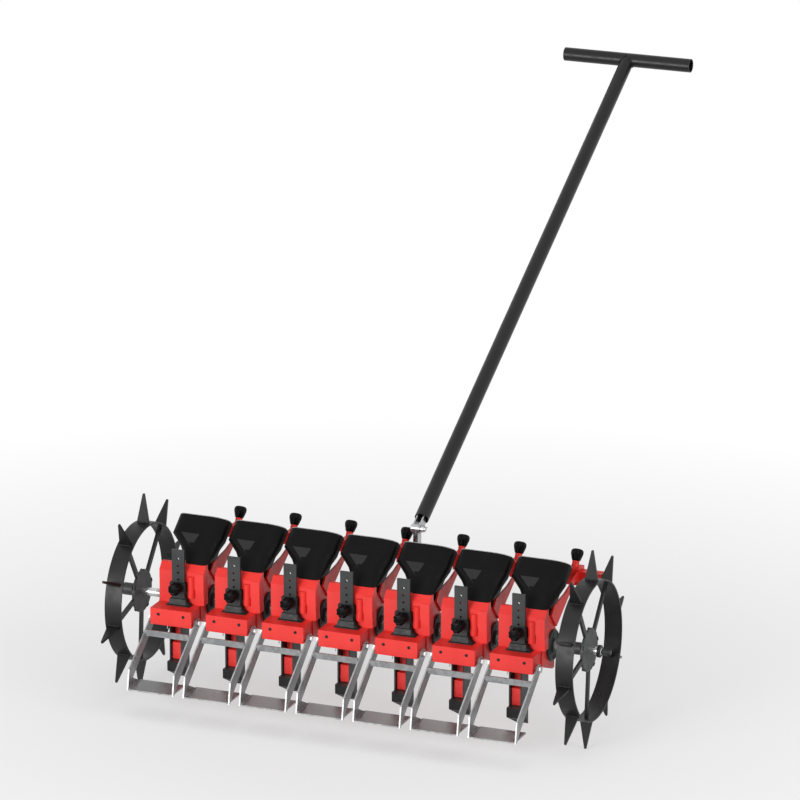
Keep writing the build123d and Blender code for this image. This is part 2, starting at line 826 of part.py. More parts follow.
with BuildPart() as collar:
    with BuildSketch(Plane.YZ.offset(axle_right_shoulder)):
        Circle(collar_radius)
        Circle(collar_bore, mode=Mode.SUBTRACT)
    extrude(amount=collar_width)
    chamfer(collar.edges().group_by(Axis.X)[-1].sort_by(SortBy.LENGTH)[-1], edge_chamfer)
write(collar.part, "axle_collar")

# Seed rotor with a ring of cells
with BuildPart() as rotor:
    with BuildSketch(Plane.YZ.offset(rotor_left)):
        Circle(rotor_radius)
        Circle(axle_radius, mode=Mode.SUBTRACT)
    extrude(amount=rotor_width)
    with BuildSketch(Plane.YZ.offset(rotor_middle - cell_radius)):
        with PolarLocations(rotor_radius, cell_count):
            Circle(cell_radius)
    extrude(amount=2 * cell_radius, mode=Mode.SUBTRACT)
write(rotor.part, "seed_rotors", row_x)

# Wheel: ring, spikes square to it, and spokes that end on the hub disc
with BuildPart() as wheel:
    with BuildSketch(Plane.YZ.offset(-rim_width / 2)):
        Circle(rim_radius)
        Circle(rim_radius - rim_sheet, mode=Mode.SUBTRACT)
    extrude(amount=rim_width)
    for spike in range(spike_count):
        turn = phase + radians(360 / spike_count * spike)
        with BuildSketch(Plane(origin=(0, 0, 0), x_dir=(1, 0, 0), z_dir=(0, -cos(turn), sin(turn)))):
            with BuildLine():
                Polyline(
                    (-spike_base / 2, rim_radius - rim_sheet / 2),
                    (spike_base / 2, rim_radius - rim_sheet / 2),
                    (spike_tip / 2, spike_tip_radius),
                    (-spike_tip / 2, spike_tip_radius),
                    close=True,
                )
            make_face()
        extrude(amount=spike_sheet / 2, both=True)
    with BuildSketch(Plane.YZ.offset(-spoke_sheet / 2)):
        with PolarLocations(rim_radius / 2, spoke_count, 90 - spike_phase - 360 / spike_count):
            Rectangle(rim_radius - rim_sheet / 2, spoke_width)
        Circle(disc_radius, mode=Mode.SUBTRACT)
    extrude(amount=spoke_sheet)
write(wheel.part, "wheel_left", [wheel_left_x])
write(wheel.part, "wheel_right", [wheel_right_x])

# Hub: disc between the spokes and a barrel on its left
with BuildPart() as hub:
    with BuildSketch(Plane.YZ.offset(-disc_thickness / 2)):
        Circle(disc_radius)
    extrude(amount=disc_thickness)
    with BuildSketch(Plane.YZ.offset(-disc_thickness / 2)):
        Circle(barrel_radius)
    extrude(amount=-barrel_length)
    chamfer(hub.edges().group_by(Axis.X)[0], edge_chamfer)
    with BuildSketch(Plane.YZ.offset(disc_thickness / 2)):
        Circle(axle_radius)
    extrude(amount=-disc_thickness - barrel_length, mode=Mode.SUBTRACT)
write(hub.part, "hub_left", [wheel_left_x])
write(hub.part, "hub_right", [wheel_right_x])

# Handle bracket: a ring around the bar and a lug that the fork straddles
with BuildPart() as bracket:
    with BuildSketch(Plane.YZ.offset(handle_x - bracket_width / 2)):
        with Locations((beam_y, beam_z)):
            Rectangle(beam + 2 * clamp_wall, beam + 2 * clamp_wall)
            Rectangle(beam, beam, mode=Mode.SUBTRACT)
    extrude(amount=bracket_width)
    with BuildSketch(Plane.YZ.offset(handle_x - fork_gap / 2 + seat_gap)):
        with Locations((hinge_y, (hinge_z + beam_z + beam / 2 + clamp_wall / 2) / 2)):
            Rectangle(fork_width, hinge_z - beam_z - beam / 2 - clamp_wall / 2)
        with Locations((hinge_y, hinge_z)):
            Circle(fork_width / 2)
            Circle(hinge_radius, mode=Mode.SUBTRACT)
    extrude(amount=fork_gap - 2 * seat_gap)
write(bracket.part, "handle_bracket")

# Handle bolt, fixed in the lug
with BuildPart() as bolt:
    with BuildSketch(Plane.YZ.offset(fork_left - seat_gap)):
        with Locations((hinge_y, hinge_z)):
            RegularPolygon(hinge_head_radius, 6)
    extrude(amount=-hinge_head)
    with BuildSketch(Plane.YZ.offset(fork_left - seat_gap)):
        with Locations((hinge_y, hinge_z)):
            Circle(hinge_radius)
    extrude(amount=fork_right - fork_left + 2 * seat_gap + nut_length + bolt_end)
write(bolt.part, "handle_bolt")

with BuildPart() as nut:
    with BuildSketch(Plane.YZ.offset(fork_right + seat_gap)):
        with Locations((hinge_y, hinge_z)):
            Circle(nut_radius)
    extrude(amount=nut_length)
    with BuildSketch(Plane.XY.offset(hinge_z)):
        for side in (-1, 1):
            with BuildLine():
                Polyline(
                    (fork_right + seat_gap + wing_start, hinge_y + side * wing_root),
                    (fork_right + seat_gap + nut_length, hinge_y + side * wing_root),
                    (fork_right + seat_gap + nut_length + wing_flare, hinge_y + side * wing_reach),
                    (wing_end, hinge_y + side * wing_reach),
                    close=True,
                )
            make_face()
    extrude(amount=wing_sheet / 2, both=True)
    with BuildSketch(Plane.YZ.offset(fork_right + seat_gap)):
        with Locations((hinge_y, hinge_z)):
            Circle(hinge_radius + run_gap)
    extrude(amount=nut_length, mode=Mode.SUBTRACT)
write(nut.part, "wing_nut")

# Handle: fork plates inside the tube's lower end, the tube, and the grip across its top
handle_plane = Plane(origin=hinge_point, x_dir=(1, 0, 0), z_dir=handle_dir)
with BuildPart() as fork:
    for side in (-1, 1):
        with BuildSketch(Plane.YZ.offset(handle_x + side * fork_gap / 2)):
            with Locations(Location((hinge_y, hinge_z), handle_angle)):
                with Locations((fork_length / 2, 0)):
                    Rectangle(fork_length, fork_width)
                Circle(fork_width / 2)
                Circle(hinge_radius + run_gap, mode=Mode.SUBTRACT)
        extrude(amount=side * fork_sheet)
write(fork.part, "handle_fork")

with BuildPart() as grip:
    with BuildSketch(Plane.YZ.offset(handle_x - grip_length / 2)):
        with Locations((grip_y, grip_z)):
            Circle(handle_radius)
            Circle(handle_radius - handle_wall, mode=Mode.SUBTRACT)
    extrude(amount=grip_length)
write(grip.part, "handle_grip")

with BuildPart() as handle_tube:
    with BuildSketch(handle_plane.offset(handle_start)):
        Circle(handle_radius)
        Circle(handle_radius - handle_wall, mode=Mode.SUBTRACT)
    extrude(amount=handle_length - handle_start)
    with BuildSketch(Plane.YZ.offset(handle_x - grip_length / 2)):
        with Locations((grip_y, grip_z)):
            Circle(handle_radius)
    extrude(amount=grip_length, mode=Mode.SUBTRACT)
write(handle_tube.part, "handle_tube")
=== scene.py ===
"""Looks of a hand-drawn row seeder: finishes, knobs, hopper lips, welds, covers, bristles and studio."""
import json
from math import cos, pi, radians, sin

import bmesh
import bpy
import numpy as np
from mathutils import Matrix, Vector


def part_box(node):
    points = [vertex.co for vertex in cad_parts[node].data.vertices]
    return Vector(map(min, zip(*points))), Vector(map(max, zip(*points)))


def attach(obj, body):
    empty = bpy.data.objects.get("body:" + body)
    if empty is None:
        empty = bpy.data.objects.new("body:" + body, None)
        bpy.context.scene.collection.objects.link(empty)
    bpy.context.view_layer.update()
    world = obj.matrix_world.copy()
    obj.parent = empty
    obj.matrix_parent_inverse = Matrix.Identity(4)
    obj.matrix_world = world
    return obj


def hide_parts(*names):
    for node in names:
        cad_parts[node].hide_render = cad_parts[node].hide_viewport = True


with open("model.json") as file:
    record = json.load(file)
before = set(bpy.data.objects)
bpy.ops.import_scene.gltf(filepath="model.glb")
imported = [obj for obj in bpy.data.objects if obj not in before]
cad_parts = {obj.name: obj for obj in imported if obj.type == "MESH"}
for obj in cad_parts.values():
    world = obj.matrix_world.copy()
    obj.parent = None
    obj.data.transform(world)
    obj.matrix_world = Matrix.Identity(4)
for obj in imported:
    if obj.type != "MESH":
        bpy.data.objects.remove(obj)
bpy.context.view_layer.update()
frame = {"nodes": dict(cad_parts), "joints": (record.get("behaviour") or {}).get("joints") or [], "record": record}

# Sizes are written in millimetres and turned to metres by this factor
MM = 0.001
joints = {joint["name"]: joint for joint in frame["joints"]}
axle_at = np.array(joints["wheels_and_rotors_turn"]["pos_m"])
rows = range(1, 8)
row_at = [np.array([joints[f"depth_knob_turn_{row}"]["pos_m"][0], *axle_at[1:]]) for row in rows]
X_AXIS = np.array([1.0, 0.0, 0.0])
SHARP_ANGLE = radians(32)


def middle(node):
    """The centre of a node's box."""
    low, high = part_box(node)
    return (np.array(low) + np.array(high)) / 2


# Shells: each is a pair of points and faces, worked out as whole arrays


def rings_to_shell(rings, capped=True, closed=False):
    """Quads between neighbouring rings of a (rings, points, 3) array, with a fan over each end or a last
    band that joins the last ring to the first."""
    count, around = rings.shape[:2]
    index = np.arange(count * around).reshape(count, around)
    if closed:
        index = np.vstack([index, index[:1]])
    beside = np.roll(index, -1, axis=1)
    faces = np.stack([index[:-1], index[1:], beside[1:], beside[:-1]], axis=-1).reshape(-1, 4).tolist()
    points = rings.reshape(-1, 3)
    if capped and not closed:
        first, last = rings[0].mean(axis=0), rings[-1].mean(axis=0)
        points = np.vstack([points, first, last])
        top = count * around
        faces += np.stack([index[0], beside[0], np.full(around, top)], axis=-1).tolist()
        faces += np.stack([beside[-1], index[-1], np.full(around, top + 1)], axis=-1).tolist()
    return points, faces


def side_and_up(axis):
    """Two unit vectors square to an axis and to each other, the first as level as it can be."""
    axis = np.asarray(axis, float) / np.linalg.norm(axis)
    level = np.array([0.0, 0.0, 1.0]) if abs(axis[2]) < 0.9 else np.array([0.0, 1.0, 0.0])
    side = np.cross(level, axis)
    side /= np.linalg.norm(side)
    return side, np.cross(axis, side)


def rounded(corners, radius, steps=4):
    """Swaps each inner corner of an open outline for a parabolic arc that starts and ends a radius away."""
    corners = np.asarray(corners, float)
    share = np.linspace(0, 1, steps + 1)[:, None]
    stretches = [corners[:1]]
    for before, corner, after in zip(corners[:-2], corners[1:-1], corners[2:]):
        reach_in = min(radius, np.linalg.norm(corner[:2] - before[:2]) / 2)
        reach_out = min(radius, np.linalg.norm(after[:2] - corner[:2]) / 2)
        start = corner + (before - corner) * reach_in / np.linalg.norm(corner[:2] - before[:2])
        end = corner + (after - corner) * reach_out / np.linalg.norm(after[:2] - corner[:2])
        stretches.append((1 - share) ** 2 * start + 2 * share * (1 - share) * corner + share**2 * end)
    return np.vstack(stretches + [corners[-1:]])


def turned(profile, at, axis, shape=None, around=48, closed=False):
    """A profile of (along the axis, radius, share of the shape) turned about an axis. The shape is a
    factor of the radius that changes with the angle, and its share says how far a ring follows it."""
    profile = np.asarray(profile, float)
    axis = np.asarray(axis, float) / np.linalg.norm(axis)
    side, up = side_and_up(axis)
    angle = np.linspace(0, 2 * pi, around, endpoint=False)
    factor = np.ones(around) if shape is None else shape(angle)
    radius = profile[:, 1:2] * (1 + profile[:, 2:3] * (factor - 1)) * MM
    spoke = np.cos(angle)[:, None] * side + np.sin(angle)[:, None] * up
    rings = at + profile[:, 0][:, None, None] * MM * axis + radius[:, :, None] * spoke
    return rings_to_shell(rings, closed=closed)


def star(lobes, depth):
    """A knob's outline: a circle with that many scooped flutes, each as deep as that share of the radius."""
    return lambda angle: 1 - depth * np.cos(lobes * angle / 2) ** 4


def hexagon(angle):
    """A hexagon's outline as a factor of the radius of its inner circle."""
    return 1 / np.cos((angle + pi / 6) % (pi / 3) - pi / 6)


# Weld beads: the depth of a ripple as a share of the radius, its pitch, the radius at an open end as a share
# of the bead's, and how closely the path is drawn
WELD_RIPPLE = 0.16
RIPPLE_PITCH = 3.0
END_SHARE = 0.4
FEWEST_POINTS = 6
POINTS_PER_MM = 1.3
RING_POINTS_PER_MM = 5


def tube_along(path, radius, ripple=0.0, around=8, closed=False):
    """A round bead along a path of points. Its radius swells and shrinks as the ripples of a weld do."""
    path = np.asarray(path, float)
    ahead = np.roll(path, -1, axis=0) - np.roll(path, 1, axis=0)
    if not closed:
        ahead[0] = path[1] - path[0]
        ahead[-1] = path[-1] - path[-2]
    ahead /= np.linalg.norm(ahead, axis=1)[:, None]
    level = np.where(np.abs(ahead[:, 2:3]) < 0.9, [[0.0, 0.0, 1.0]], [[1.0, 0.0, 0.0]])
    side = np.cross(level, ahead)
    side /= np.linalg.norm(side, axis=1)[:, None]
    up = np.cross(ahead, side)
    steps = np.linalg.norm(np.diff(path, axis=0), axis=1)
    along = np.concatenate([[0.0], np.cumsum(steps)])
    swell = radius * MM * (1 + ripple * np.cos(2 * pi * along / (RIPPLE_PITCH * MM)))
    if not closed:
        swell[[0, -1]] *= END_SHARE
    angle = np.linspace(0, 2 * pi, around, endpoint=False)
    spoke = np.cos(angle)[:, None] * side[:, None] + np.sin(angle)[:, None] * up[:, None]
    return rings_to_shell(path[:, None] + swell[:, None, None] * spoke, closed=closed)


def weld(start, end, radius):
    """A straight weld bead from one point to another."""
    length = np.linalg.norm(end - start) / MM
    share = np.linspace(0, 1, max(FEWEST_POINTS, int(length * POINTS_PER_MM)))[:, None]
    return tube_along(start + (end - start) * share, radius, WELD_RIPPLE)


def weld_ring(at, axis, ring, radius):
    """A weld bead that runs once round a shaft."""
    side, up = side_and_up(axis)
    angle = np.linspace(0, 2 * pi, int(ring * RING_POINTS_PER_MM), endpoint=False)[:, None]
    path = at + ring * MM * (np.cos(angle) * side + np.sin(angle) * up)
    return tube_along(path, radius, WELD_RIPPLE, closed=True)


def rounded_rectangle(half_width, half_depth, right, left, along, steps=12):
    """Points round a rectangle whose corners are quarters of an oval. Its right and left corners have their
    own radius across, and all have the same along."""
    angle = (np.linspace(0, pi / 2, steps) + np.arange(4)[:, None] * pi / 2).ravel()
    side = np.repeat([1, -1, -1, 1], steps)
    end = np.repeat([1, 1, -1, -1], steps)
    across = np.repeat([right, left, left, right], steps)
    x = side * (half_width - across) + across * np.cos(angle)
    y = end * (half_depth - along) + along * np.sin(angle)
    return np.stack([x, y], axis=-1)


def moved(shell, offset):
    """The same shell, an offset away."""
    return shell[0] + offset, shell[1]


def piece(name, shells, body, finish, nodes=()):
    """Joins shells to one mesh, turns its faces outwards, and gives it to a body and a finish."""
    points, faces, start = [], [], 0
    for shell_points, shell_faces in shells:
        points.append(shell_points)
        faces += [[corner + start for corner in face] for face in shell_faces]
        start += len(shell_points)
    mesh = bpy.data.meshes.new(name)
    mesh.from_pydata(np.vstack(points).tolist(), [], faces)
    build = bmesh.new()
    build.from_mesh(mesh)
    bmesh.ops.recalc_face_normals(build, faces=build.faces)
    build.to_mesh(mesh)
    build.free()
    mesh.shade_smooth()
    mesh.set_sharp_from_angle(angle=SHARP_ANGLE)
    mesh.materials.append(finish)
    made = bpy.data.objects.new(name, mesh)
    bpy.context.scene.collection.objects.link(made)
    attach(made, body)
    if nodes:
        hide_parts(*nodes)
    return made


# Materials


def linear(colour):
    """An sRGB hex colour as linear red, green, blue and alpha."""
    parts = [int(colour[place : place + 2], 16) / 255 for place in (1, 3, 5)]
    return [part / 12.92 if part <= 0.04045 else ((part + 0.055) / 1.055) ** 2.4 for part in parts] + [1.0]


def add(material, kind, inputs=(), **settings):
    """Adds a node with its settings, and sets or links each input that is given."""
    node = material.node_tree.nodes.new(kind)
    for name, value in settings.items():
        setattr(node, name, value)
    for name, value in dict(inputs).items():
        if isinstance(value, bpy.types.NodeSocket):
            material.node_tree.links.new(value, node.inputs[name])
        else:
            node.inputs[name].default_value = value
    return node


def begin(name, **values):
    """A material with a Principled shader, and the object's own coordinates in metres."""
    material = bpy.data.materials.new(name)
    material.use_nodes = True
    material.node_tree.nodes.clear()
    shader = add(material, "ShaderNodeBsdfPrincipled", values.items())
    add(material, "ShaderNodeOutputMaterial", {"Surface": shader.outputs[0]})
    place = add(material, "ShaderNodeTexCoord").outputs["Object"]
    return material, shader, place


def noise(material, place, size, detail=2.0, stretch=(1.0, 1.0, 1.0)):
    """A noise whose patches are about that many millimetres wide, drawn out where the stretch is small."""
    drawn = add(material, "ShaderNodeMapping", {"Vector": place, "Scale": stretch}).outputs[0]
    wanted = {"Vector": drawn, "Scale": 1 / (size * MM), "Detail": detail}
    return add(material, "ShaderNodeTexNoise", wanted).outputs["Fac"]


def blend_colours(material, shader, share, one, other):
    """Blends two hex colours into the shader's colour by a pattern that runs from about 0.35 to 0.65."""
    spread = add(
        material,
        "ShaderNodeMapRange",
        {"Value": share, "From Min": 0.35, "From Max": 0.65},
    ).outputs[0]
    mix = add(material, "ShaderNodeMix", {"Factor": spread}, data_type="RGBA")
    for socket in mix.inputs:
        if socket.type == "RGBA":
            socket.default_value = linear(one if socket.name == "A" else other)
    colour = next(socket for socket in mix.outputs if socket.type == "RGBA")
    material.node_tree.links.new(colour, shader.inputs["Base Color"])


def vary_roughness(material, shader, share, low, high):
    """Runs the roughness from low to high by a pattern that runs from about 0.3 to 0.7."""
    inputs = {"Value": share, "From Min": 0.3, "From Max": 0.7, "To Min": low, "To Max": high}
    spread = add(material, "ShaderNodeMapRange", inputs)
    material.node_tree.links.new(spread.outputs[0], shader.inputs["Roughness"])


def raise_surface(material, shader, height, depth, strength=1.0):
    """Lifts the surface by a pattern, with its depth in millimetres."""
    bump = add(material, "ShaderNodeBump", {"Height": height, "Distance": depth * MM, "Strength": strength})
    material.node_tree.links.new(bump.outputs[0], shader.inputs["Normal"])


def powder_coat(name, colour, shade, gloss):
    """Baked polyester powder on steel: an even colour, with the fine orange peel of melted powder about
    2 mm wide, which breaks the edge of each highlight."""
    material, shader, place = begin(name, Roughness=gloss, IOR=1.5, **{"Specular IOR Level": 0.3})
    blend_colours(material, shader, noise(material, place, 60, 3), colour, shade)
    vary_roughness(material, shader, noise(material, place, 18, 4), gloss - 0.05, gloss + 0.08)
    raise_surface(material, shader, noise(material, place, 2.0), 0.06, 0.5)
    return material


def moulded_red():
    """Injection-moulded ABS: a clear satin red with faint flow marks, drawn about 40 mm wide, and a spark
    eroded grain, drawn at 1.2 mm, which is coarser than the real 0.2 mm so that it shows."""
    material, shader, place = begin("abs_red_moulded", IOR=1.52, **{"Specular IOR Level": 0.45})
    blend_colours(material, shader, noise(material, place, 40, 3, (1, 1, 0.4)), "#E02A23", "#D9241E")
    vary_roughness(material, shader, noise(material, place, 14, 4), 0.36, 0.48)
    raise_surface(material, shader, noise(material, place, 1.2, 1), 0.03, 0.4)
    return material


def rotomoulded_black():
    """Rotomoulded polyethylene: waxy near-black with soft broad highlights, long shallow ripples about 25 mm
    wide from the mould, and a fine dull bloom."""
    material, shader, place = begin(
        "polyethylene_black_rotomoulded", IOR=1.51, **{"Specular IOR Level": 0.09}
    )
    blend_colours(material, shader, noise(material, place, 30, 4), "#050505", "#090909")
    vary_roughness(material, shader, noise(material, place, 9, 5), 0.42, 0.6)
    raise_surface(material, shader, noise(material, place, 25, 1), 0.25, 0.6)
    return material


def rim_painted_highlight():
    """Pale grey, dull polyethylene along the hopper's rim: a painted highlight on the lip's top."""
    material, shader, place = begin("polyethylene_rim_painted_highlight", IOR=1.51)
    blend_colours(material, shader, noise(material, place, 6, 4), "#8A8A8A", "#A6A6A6")
    vary_roughness(material, shader, noise(material, place, 3, 2), 0.4, 0.6)
    raise_surface(material, shader, noise(material, place, 1.5), 0.05, 0.5)
    return material


def moulded_black(name, one, other, low, high):
    """Injection-moulded glass-filled nylon: dark and even, with a dry grain, drawn at 1 mm, and a sheen that
    wanders with the flow of the melt."""
    material, shader, place = begin(name, IOR=1.53, **{"Specular IOR Level": 0.25})
    blend_colours(material, shader, noise(material, place, 20, 3), one, other)
    vary_roughness(material, shader, noise(material, place, 8, 4), low, high)
    raise_surface(material, shader, noise(material, place, 1.0, 1), 0.03, 0.4)
    return material


def phenolic_black():
    """Compression-moulded phenolic resin: the deep polished black of a machine knob, with faint specks of
    filler about 1 mm wide and hand rub that dulls it in patches."""
    material, shader, place = begin("phenolic_black_moulded", IOR=1.6, **{"Specular IOR Level": 0.07})
    blend_colours(material, shader, noise(material, place, 1.0, 2), "#030304", "#060607")
    vary_roughness(material, shader, noise(material, place, 7, 4), 0.22, 0.42)
    raise_surface(material, shader, noise(material, place, 2.5), 0.04, 0.3)
    return material


def zinc_sheet(name, one, other, low, high):
    """Galvanised sheet: grey zinc with crystal spangles about 7 mm wide, each a little duller or
    brighter than its neighbour, and the rolling marks along the sheet."""
    material, shader, place = begin(name, Metallic=1.0)
    cells = add(material, "ShaderNodeTexVoronoi", {"Vector": place, "Scale": 1 / (7 * MM)})
    level = add(material, "ShaderNodeSeparateColor", {"Color": cells.outputs["Color"]}).outputs[0]
    blend_colours(material, shader, level, one, other)
    vary_roughness(material, shader, level, low, high)
    marks = noise(material, place, 1.2, 3, (1.0, 0.06, 0.06))
    raise_surface(material, shader, marks, 0.03, 0.35)
    return material


def plated_steel():
    """Turned and zinc-plated steel: bright and slightly blue, with the lathe's rings round the axle, drawn
    0.8 mm apart, and patches that dull where it is handled."""
    material, shader, place = begin("zinc_plated_steel_turned", Metallic=1.0)
    blend_colours(material, shader, noise(material, place, 15, 4), "#A4A6A8", "#B6B8B9")
    vary_roughness(material, shader, noise(material, place, 5, 4), 0.24, 0.40)
    rings = noise(material, place, 0.8, 2, (1.0, 0.05, 0.05))
    raise_surface(material, shader, rings, 0.02, 0.4)
    return material


def ground_steel():
    """Ground and hard-chromed steel: nearly white, with a soft sheen drawn out round the shaft by the wheel's
    fine rings, drawn 0.6 mm apart."""
    material, shader, place = begin("chromed_steel_ground", Metallic=1.0)
    blend_colours(material, shader, noise(material, place, 20, 3), "#E9EAEB", "#F3F4F4")
    vary_roughness(material, shader, noise(material, place, 6, 4), 0.22, 0.34)
    raise_surface(material, shader, noise(material, place, 0.6, 2, (1.0, 0.05, 0.05)), 0.01, 0.4)
    return material


def turned_nylon():
    """Cast nylon turned on a lathe: milky white with soft light under the surface and fine tool rings."""
    material, shader, place = begin("nylon_white_turned", IOR=1.53)
    shader.inputs["Subsurface Weight"].default_value = 0.15
    shader.inputs["Subsurface Scale"].default_value = 2 * MM
    blend_colours(material, shader, noise(material, place, 12, 3), "#E9E7DE", "#DEDCD2")
    vary_roughness(material, shader, noise(material, place, 4, 3), 0.36, 0.5)
    raise_surface(material, shader, noise(material, place, 0.6, 1, (1.0, 0.05, 0.05)), 0.02, 0.5)
    return material


def drawn_bristle():
    """Drawn nylon bristle: dark and glossy, with paler patches about 0.8 mm wide."""
    material, shader, place = begin("nylon_bristle_drawn", IOR=1.53)
    blend_colours(material, shader, noise(material, place, 0.8, 2), "#1B1A19", "#34322F")
    vary_roughness(material, shader, noise(material, place, 2, 2), 0.3, 0.45)
    raise_surface(material, shader, noise(material, place, 0.5, 1), 0.02, 0.4)
    return material


def flat_white(material, share):
    """The share of plain white: as given for the camera, mirrors and glass, and none for other rays."""
    path = add(material, "ShaderNodeLightPath").outputs
    seen = path["Is Camera Ray"]
    for ray in ("Is Glossy Ray", "Is Transmission Ray"):
        seen = add(material, "ShaderNodeMath", {0: seen, 1: path[ray]}, operation="MAXIMUM").outputs[0]
    return add(material, "ShaderNodeMath", {0: seen, 1: share}, operation="MULTIPLY").outputs[0]


red_moulding = moulded_red()
red_paint = powder_coat("powder_coat_red", "#E62F28", "#DC2720", 0.42)
black_paint = powder_coat("powder_coat_black", "#0F0F10", "#131314", 0.42)
tube_paint = powder_coat("powder_coat_black_satin", "#101011", "#151516", 0.36)
hub_paint = powder_coat("powder_coat_graphite", "#2B2C2D", "#343536", 0.42)
hopper_plastic = rotomoulded_black()
# The hopper lips in pale grey: a painted highlight along the rim.
rim_highlight_plastic = rim_painted_highlight()
guide_plastic = moulded_black("nylon_glass_filled_black", "#161717", "#1D1E1E", 0.42, 0.58)
cover_plastic = moulded_black("nylon_glass_filled_grey", "#232626", "#2C3030", 0.40, 0.55)
knob_plastic = phenolic_black()
sheet_zinc = zinc_sheet("galvanised_steel_sheet", "#9FA0A1", "#A9AAAB", 0.36, 0.50)
# The same galvanised sheet in a darker grey for the cross strip: painted shade that damps the front light on the
# strip.
strip_zinc_painted_shade = zinc_sheet("galvanised_steel_strip_painted_shade", "#7D7E7F", "#868788", 0.40, 0.52)
bright_steel = plated_steel()
chromed_steel = ground_steel()
# The facet pads in a lighter black than the hoppers: a painted reflection on the flat triangle.
facet_painted_reflection = moulded_black("polyethylene_black_painted_reflection", "#151515", "#191919", 0.50, 0.60)
# Near-black for the coulters' shoes: painted shade.
shadow_paint = powder_coat("powder_coat_black_painted_shade", "#060606", "#090909", 0.55)
rotor_nylon = turned_nylon()
bristle = drawn_bristle()

slot_finish = {
    "red_housing": red_moulding,
    "red_steel": red_paint,
    "black_plastic": guide_plastic,
    "black_knob": knob_plastic,
    "black_steel": black_paint,
    "black_tube": tube_paint,
    "galvanised_sheet": sheet_zinc,
    "zinc_steel": bright_steel,
    "white_nylon": rotor_nylon,
    "brush_bristle": bristle,
}
node_finish = {
    "hoppers": hopper_plastic,
    "drag_pivots": chromed_steel,
    "hub_left": hub_paint,
    "hub_right": hub_paint,
    "axle_collar": black_paint,
    "rotor_covers": cover_plastic,
    "axle_bushes": cover_plastic,
}
for subpart in frame["record"]["subparts"]:
    node = frame["nodes"][subpart["node"]]
    finish = node_finish.get(subpart["node"]) or slot_finish[subpart["material_slot"]]
    node.data.materials.clear()
    node.data.materials.append(finish)

# Knobs: a fluted head on a neck, and the threaded stud that it turns

NECK_LENGTH = 4.0
HEAD_LENGTH = 20.0
HEAD_RADIUS = 13.2
STUD_RADIUS = 4.0
SEAT_GAP = 0.3
FLUTES = 8
DEPTH_FLUTE = 0.16
CLAMP_FLUTE = 0.17
THREAD_START = 3.0
THREAD_STEP = 0.5
THREAD_DEPTH = 0.35


def depth_knob(row):
    """Head of a depth knob: neck, undercut shoulder, fluted grip and a dished crown with a cap in it."""
    low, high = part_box(f"depth_knob_{row}")
    end = NECK_LENGTH + HEAD_LENGTH
    at = np.array([(low.x + high.x) / 2, low.y + end * MM, (low.z + high.z) / 2])
    profile = [
        (SEAT_GAP, STUD_RADIUS, 0),
        (SEAT_GAP, 8.0, 0),
        (NECK_LENGTH, 8.0, 0),
        (NECK_LENGTH + 0.5, 11.5, 0.6),
        (NECK_LENGTH + 3.5, HEAD_RADIUS, 1),
        (end - 5.0, HEAD_RADIUS, 1),
        (end - 1.0, 11.0, 0.9),
        (end, 7.5, 0.2),
        (end - 0.8, 6.4, 0),
        (end - 0.8, 5.4, 0),
        (end - 0.2, 4.6, 0),
        (end - 0.2, 1.0, 0),
    ]
    head = turned(rounded(profile, 1.2), at, (0, -1, 0), star(FLUTES, DEPTH_FLUTE), around=96)
    piece(f"depth_knob_head_{row}", [head], f"depth_knob_{row}", knob_plastic,
          [f"depth_knob_{row}"])
    root = [(-4.0, STUD_RADIUS - 0.3, 0), (-4.0, STUD_RADIUS, 0), (1.0, STUD_RADIUS, 0)]
    stud = turned(root, at, (0, -1, 0))
    piece(f"depth_knob_stud_{row}", [stud], f"depth_knob_{row}", bright_steel)


def clamp_knob(row):
    """Head of a clamp knob, which widens from its neck to a domed and fluted top, on a ringed stud."""
    joint = joints[f"clamp_knob_turn_{row}"]
    at = np.array(joint["pos_m"])
    start, end = 18.0, 43.0
    profile = [
        (start, STUD_RADIUS, 0),
        (start, 8.6, 0),
        (start + 3.0, 9.6, 0.3),
        (start + 14.0, 12.9, 1),
        (end - 5.5, 13.0, 1),
        (end - 1.5, 10.8, 0.9),
        (end, 6.5, 0.2),
        (end - 0.7, 5.6, 0),
        (end - 0.7, 1.0, 0),
    ]
    head = turned(rounded(profile, 1.6), at, joint["axis"], star(FLUTES, CLAMP_FLUTE), around=96)
    piece(f"clamp_knob_head_{row}", [head], f"clamp_knob_{row}", knob_plastic,
          [f"clamp_knob_{row}"])
    along = np.arange(THREAD_START, start + 1.0, THREAD_STEP)
    groove = THREAD_DEPTH * (np.arange(len(along)) % 2)
    thread = np.stack([along, STUD_RADIUS - groove, 0 * along], axis=-1)
    stud = turned(thread, at, joint["axis"], around=24)
    piece(f"clamp_knob_stud_{row}", [stud], f"clamp_knob_{row}", bright_steel)


for row in rows:
    depth_knob(row)
    clamp_knob(row)

# Hoppers: a leaning oval-cornered mouth, a shoulder, a waist and a foot on the housing's deck. A size is half
# the width, half the depth, and the radii of the corners on the right, on the left and along

MOUTH_AT = np.array([10.0, 60.8, 151.0])
MOUTH_LEAN = radians(36.9)
SLOPE_RISE = radians(35.9)
STRAIGHT = 47.0
MOUTH_SIZE = np.array([56.0, 26.5, 42.0, 18.0, 20.0])
FOOT_AT = np.array([28.5, -10.8, 88.0])
FOOT_SIZE = np.array([25.5, 33.8, 14.0, 14.0, 14.0])
WAIST_SHARE = 0.45
WAIST_ROUND = 0.97
HOPPER_WALL = 2.5
LIP_RADIUS = 1.4
FACET_CORNERS = [(-22.0, 1.3, 139.1), (20.0, 1.3, 139.1), (9.0, -19.5, 115.9)]
FACET_PROUD = 0.8
FACET_FACE = 1.3
FACET_SHARE = 0.97
RULED_STEPS = 6
SKIRT_LEFT = 2.0
SKIRT_RIGHT = 46.0
SKIRT_PROFILE = [(-36.0, 88.2), (23.0, 88.2), (23.0, 20.0)]
mouth_down = np.array([0.0, cos(MOUTH_LEAN), -sin(MOUTH_LEAN)])
shoulder_at = MOUTH_AT - STRAIGHT * np.array([0.0, cos(SLOPE_RISE), sin(SLOPE_RISE)])
foot_down = np.array([0.0, 1.0, 0.0])


